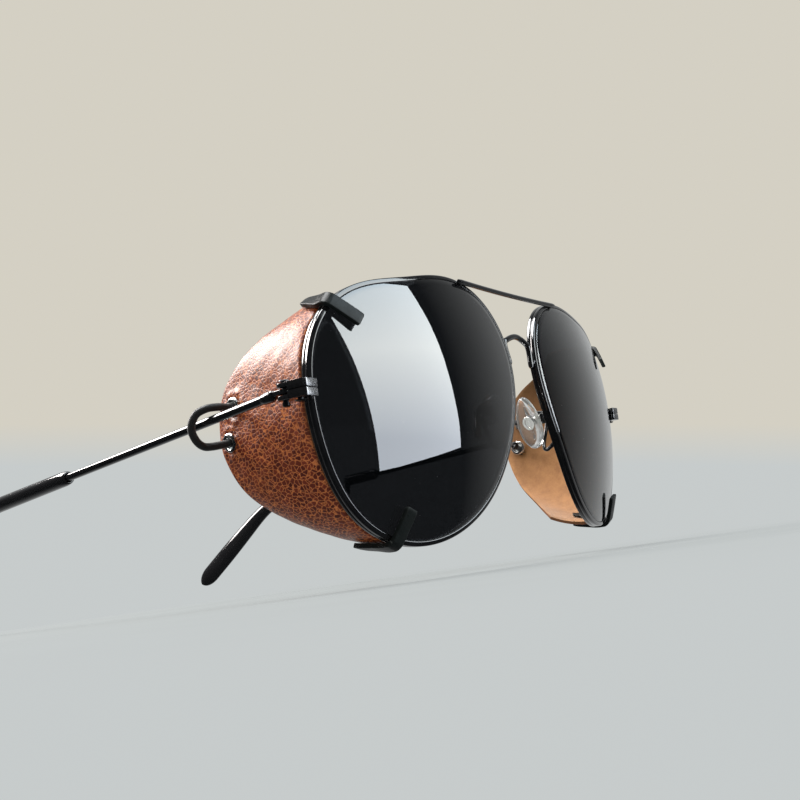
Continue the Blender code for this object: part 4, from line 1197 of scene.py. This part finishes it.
def make_knot(level, side):
    """Overhand knot: the cord wound tightly round itself behind the eyelet."""
    share, reach = EYELETS[level]
    centre = shield_point(share, reach, CORD_INSIDE - KNOT_RADIUS - GAP)
    out = shield_rib(share)[2]
    sideways = out.orthogonal().normalized()
    upright = out.cross(sideways)
    strand = 0.40
    swing = KNOT_RADIUS - strand - 0.04
    points = []
    for k in range(141):
        turn = 2 * pi * k / 140
        wide = swing * (0.72 + 0.28 * cos(3 * turn))
        points.append(centre + out * (swing * 0.62 * sin(3 * turn))
                      + sideways * (wide * cos(2 * turn)) + upright * (wide * sin(2 * turn)))
    bm = bmesh.new()
    rings = [ring(point, across, other, strand, strand, 14)
             for point, _, across, other in frames(points)]
    skin(bm, side, rings)
    turned(bm, side, centre, out,
           ((-0.75, 0.15), (-0.6, 0.45), (0.0, 0.62), (0.6, 0.45), (1.25, 0.5)), 16)
    piece("knot", side, bm, "_" + level)


def strip(kind, level, side, stations, thick):
    """Spring strip: stations are (middle, across, outward, half width) along its path."""
    steps = 7
    count = (len(stations) - 1) * steps
    lists = [[Vector(station[part]) for station in stations] for part in range(3)]
    widths = [Vector((station[3], 0, 0)) for station in stations]
    bm = bmesh.new()
    rings = []
    places = []
    travelled = 0.0
    previous = None
    for k in range(count + 1):
        place = k / steps
        middle = through(lists[0], place)
        across = through(lists[1], place).normalized()
        outward = through(lists[2], place)
        outward = (outward - across * outward.dot(across)).normalized()
        half_width = through(widths, place).x
        travelled += (middle - previous).length if previous else 0.0
        previous = middle
        inset = 0.14 if k in (0, count) else 0.0
        outline = rounded(((-half_width + inset, -thick / 2 + inset / 2),
                           (half_width - inset, -thick / 2 + inset / 2),
                           (half_width - inset, thick / 2 - inset / 2),
                           (-half_width + inset, thick / 2 - inset / 2)), 0.2, 4)
        rings.append([middle + across * point.x + outward * point.y for point in outline])
        places += [(travelled, point.x, point.y) for point in outline]
    skin(bm, side, rings)
    keep_places(piece(kind, side, bm, "_" + level), places)


def rim_station(angle, out, depth, slope, half_width):
    """Strip station beside the rim, where slope is its path's heading in (out, depth)."""
    radial = Vector((cos(angle), 0, sin(angle)))
    middle = on_rim(angle, out, depth)
    across = on_rim(angle + 0.01, out, depth) - on_rim(angle - 0.01, out, depth)
    across = Vector((-sin(angle), 0, cos(angle))) + across.normalized() * 0.001
    deep = on_rim(angle, out, depth + 0.5) - on_rim(angle, out, depth - 0.5)
    outward = radial * -sin(slope) * -1 + deep.normalized() * -cos(slope)
    return middle, across.normalized(), outward, half_width


def make_clip(level, side):
    """J-shaped spring strip: tab on the lens front, over the rim, along the leather."""
    angle = CLIPS[level]
    share = (angle - SHIELD_ANGLES[0]) / (SHIELD_ANGLES[1] - SHIELD_ANGLES[0])
    path = [(-5.4, CLIP_FRONT - 0.5), (-2.6, CLIP_FRONT - 0.25)]
    for k in range(5):
        turn = radians(-90 + 22.5 * k)
        path.append((CLIP_STANDOFF + CLIP_BEND * (cos(turn) - 1),
                     CLIP_FRONT + CLIP_BEND * (sin(turn) + 1)))
    path.append((CLIP_STANDOFF, 1.1))
    stations = []
    for k, here in enumerate(path):
        before = path[max(k - 1, 0)]
        after = path[min(k + 1, len(path) - 1)]
        slope = atan2(after[1] - before[1], after[0] - before[0])
        stations.append(rim_station(angle, here[0], here[1], slope, CLIP_HALF_WIDTH))
    lift = LEATHER_THICK / 2 + GAP + CLIP_THICK / 2
    for reach, width in ((0.16, 1.0), (0.32, 0.85), (0.44, 0.6)):
        stations.append(shield_station(share, reach, lift, CLIP_HALF_WIDTH * width))
    strip("clip_strip", level, side, stations, CLIP_THICK)


def shield_station(share, reach, lift, half_width):
    middle = shield_point(share, reach, lift)
    across = shield_point(share - 0.01, reach, lift) - shield_point(share + 0.01, reach, lift)
    return middle, across.normalized(), shield_rib(share)[2], half_width


def make_clip_leaf(level, side):
    """Inner leaf that grips the leather against the clip's tail."""
    share = (CLIPS[level] - SHIELD_ANGLES[0]) / (SHIELD_ANGLES[1] - SHIELD_ANGLES[0])
    lift = -LEATHER_THICK / 2 - GAP - LEAF_THICK / 2
    stations = [shield_station(share, reach, lift, CLIP_HALF_WIDTH * width)
                for reach, width in ((0.04, 1.0), (0.3, 0.9), (0.44, 0.6))]
    strip("clip_grip", level, side, stations, LEAF_THICK)


# ---------------------------------------------------------------- studio

def make_camera():
    forward = Vector((sin(CAMERA_BEARING) * cos(CAMERA_RISE),
                      cos(CAMERA_BEARING) * cos(CAMERA_RISE), sin(CAMERA_RISE)))
    level = forward.cross(Vector((0, 0, 1))).normalized()
    above = level.cross(forward)
    right = level * cos(CAMERA_ROLL) + above * sin(CAMERA_ROLL)
    up = right.cross(forward)
    data = bpy.data.cameras.new("camera")
    data.lens = CAMERA_LENS
    data.clip_start = 0.0005
    camera = link("camera", data)
    camera.matrix_world = Matrix.Translation(CAMERA_EYE) @ Matrix(
        (right, up, -forward)).transposed().to_4x4()
    bpy.context.scene.camera = camera


def make_floor():
    """Round pale floor whose edge fades into the world's own grey."""
    bm = bmesh.new()
    rings = []
    for radius in (0.02, 0.2, 0.5, 1.0, 1.6, 2.4):
        rings.append([bm.verts.new((radius * cos(2 * pi * k / 64), radius * sin(2 * pi * k / 64),
                                    FLOOR_Z)) for k in range(64)])
    bm.faces.new(rings[0])
    for row, following in zip(rings, rings[1:]):
        for k in range(64):
            after = (k + 1) % 64
            bm.faces.new((row[k], row[after], following[after], following[k]))
    mesh = new_mesh("floor", bm)
    mat, tree, shader = new_look("pale_floor", Roughness=0.7, Specular_IOR_Level=0.2)
    grain = noise(tree, in_mm(tree, (1.0, 0.3, 1.0)), 0.05, 4.0)
    colour = blend_colours(tree, grain, (0.15, 0.16, 0.16), (0.23, 0.25, 0.25))
    finish_look(tree, shader, colour)
    away = add(tree, "VectorMath", ((0, add(tree, "TexCoord").outputs["Object"]),),
               operation="LENGTH").outputs["Value"]
    glow = add(tree, "Emission", (("Color", (*TABLE_GREY, 1.0)),))
    fade = remap(tree, away, *FLOOR_FADE, 0.6, 1.0)
    mixed = add(tree, "MixShader", ((0, fade), (1, shader.outputs[0]), (2, glow.outputs[0])))
    tree.links.new(mixed.outputs[0], tree.nodes["Material Output"].inputs["Surface"])
    mesh.materials.append(mat)
    floor = link("floor", mesh)
    floor.visible_glossy = False


def make_world():
    """Pale grey below, warm beige above; reflections see a darker room in front."""
    world_data = bpy.data.worlds.new("studio")
    bpy.context.scene.world = world_data
    bpy.context.scene.view_settings.view_transform = "Standard"
    world_data.use_nodes = True
    tree = world_data.node_tree
    heading = add(tree, "TexCoord").outputs["Generated"]
    up = bpy.context.scene.camera.matrix_world.to_3x3() @ Vector((0, 1, 0))
    rise = add(tree, "VectorMath", ((0, heading), (1, up)), operation="DOT_PRODUCT")
    level = remap(tree, rise.outputs["Value"], *WALL_FOOT, 0.0, 1.0)
    wall = blend_colours(tree, level, TABLE_GREY, WALL_BEIGE)
    behind = add(tree, "VectorMath", ((0, heading), (1, ROOM_FRONT)),
                 operation="DOT_PRODUCT").outputs["Value"]
    lit = remap(tree, behind, 0.22, 0.90, 0.0, 1.0)
    room = blend_colours(tree, lit, (0.006, 0.008, 0.010), (0.46, 0.47, 0.47))
    glossy = add(tree, "LightPath").outputs["Is Glossy Ray"]
    background = tree.nodes["Background"]
    tree.links.new(blend_colours(tree, glossy, wall, room), background.inputs["Color"])


def make_area(name, place, target, size, power, colour=(1, 1, 1)):
    """Soft rectangular light of a (width, height) size, aimed at a target."""
    data = bpy.data.lights.new(name, "AREA")
    data.shape = "RECTANGLE"
    data.size, data.size_y = size
    data.energy = power
    data.color = colour
    light = link(name, data)
    light.location = place
    light.rotation_euler = (Vector(target) - Vector(place)).to_track_quat("-Z", "Y").to_euler()
    light.visible_camera = False


def make_window():
    """Tall soft light in front of the lenses, brightest across its middle."""
    bm = bmesh.new()
    centre = world(-1, on_lens(*WINDOW_AIM, 0.0))
    corners = []
    for bearing, rise in WINDOW_CORNERS:
        flat = cos(radians(rise))
        heading = Vector((sin(radians(bearing)) * flat, -cos(radians(bearing)) * flat,
                          sin(radians(rise))))
        corners.append(bm.verts.new(centre + heading * WINDOW_DISTANCE))
    bm.faces.new(corners)
    mesh = new_mesh("window", bm)
    mat = bpy.data.materials.new("window_light")
    mat.use_nodes = True
    tree = mat.node_tree
    tree.nodes.clear()
    height = add(tree, "SeparateXYZ", (("Vector", in_mm(tree)),)).outputs["Z"]
    lower = remap(tree, height, *WINDOW_HEIGHTS[:2], 0.0, 1.0)
    upper = remap(tree, height, *WINDOW_HEIGHTS[1:], 0.0, 1.0)
    colour = blend_colours(tree, lower, (0.62, 0.67, 0.74), (0.95, 1.0, 1.0))
    colour = blend_colours(tree, upper, colour, (0.55, 0.66, 0.74))
    glow = add(tree, "Emission", (("Color", colour), ("Strength", WINDOW_GLOW)))
    output = add(tree, "OutputMaterial")
    tree.links.new(glow.outputs[0], output.inputs["Surface"])
    mesh.materials.append(mat)
    window = link("window", mesh)
    window.visible_camera = False
    window.visible_shadow = False


def make_side_glow():
    """Soft light whose reflection is the sheen across the upper half of the near leather."""
    spot = world(-1, shield_point(*SHEEN_PLACE, LEATHER_THICK / 2))
    outward = world(-1, shield_point(*SHEEN_PLACE, 5.0)) - spot
    outward.normalize()
    view = (Vector(CAMERA_EYE) - spot).normalized()
    mirrored = outward * 2 * outward.dot(view) - view
    make_area("side_glow", spot + mirrored * SHEEN_DISTANCE, spot, SHEEN_SIZE, SHEEN_POWER,
              SHEEN_TINT)


def make_studio():
    make_side_glow()
    make_floor()
    make_world()
    make_window()
    make_area("overhead", OVERHEAD_PLACE, OVERHEAD_TARGET, OVERHEAD_SIZE, OVERHEAD_POWER)


# ---------------------------------------------------------------- assembly

def make_side(side):
    for make in (make_rim, make_lens, make_end_piece, make_screws, make_pad_arm, make_pad_screw,
                 make_pad_insert, make_nose_pad, make_tongue, make_temple_wire, make_sleeve,
                 make_cord):
        make(side)
    for level in EYELETS:
        for make in (make_eyelet, make_knot, make_clip, make_clip_leaf):
            make(level, side)
    make_leather(side, [shield_point(*place, 0.0) for place in EYELETS.values()])


make_camera()
for wearer_side in (-1, 1):
    make_side(wearer_side)
make_brow_bar()
make_bridge()
make_studio()
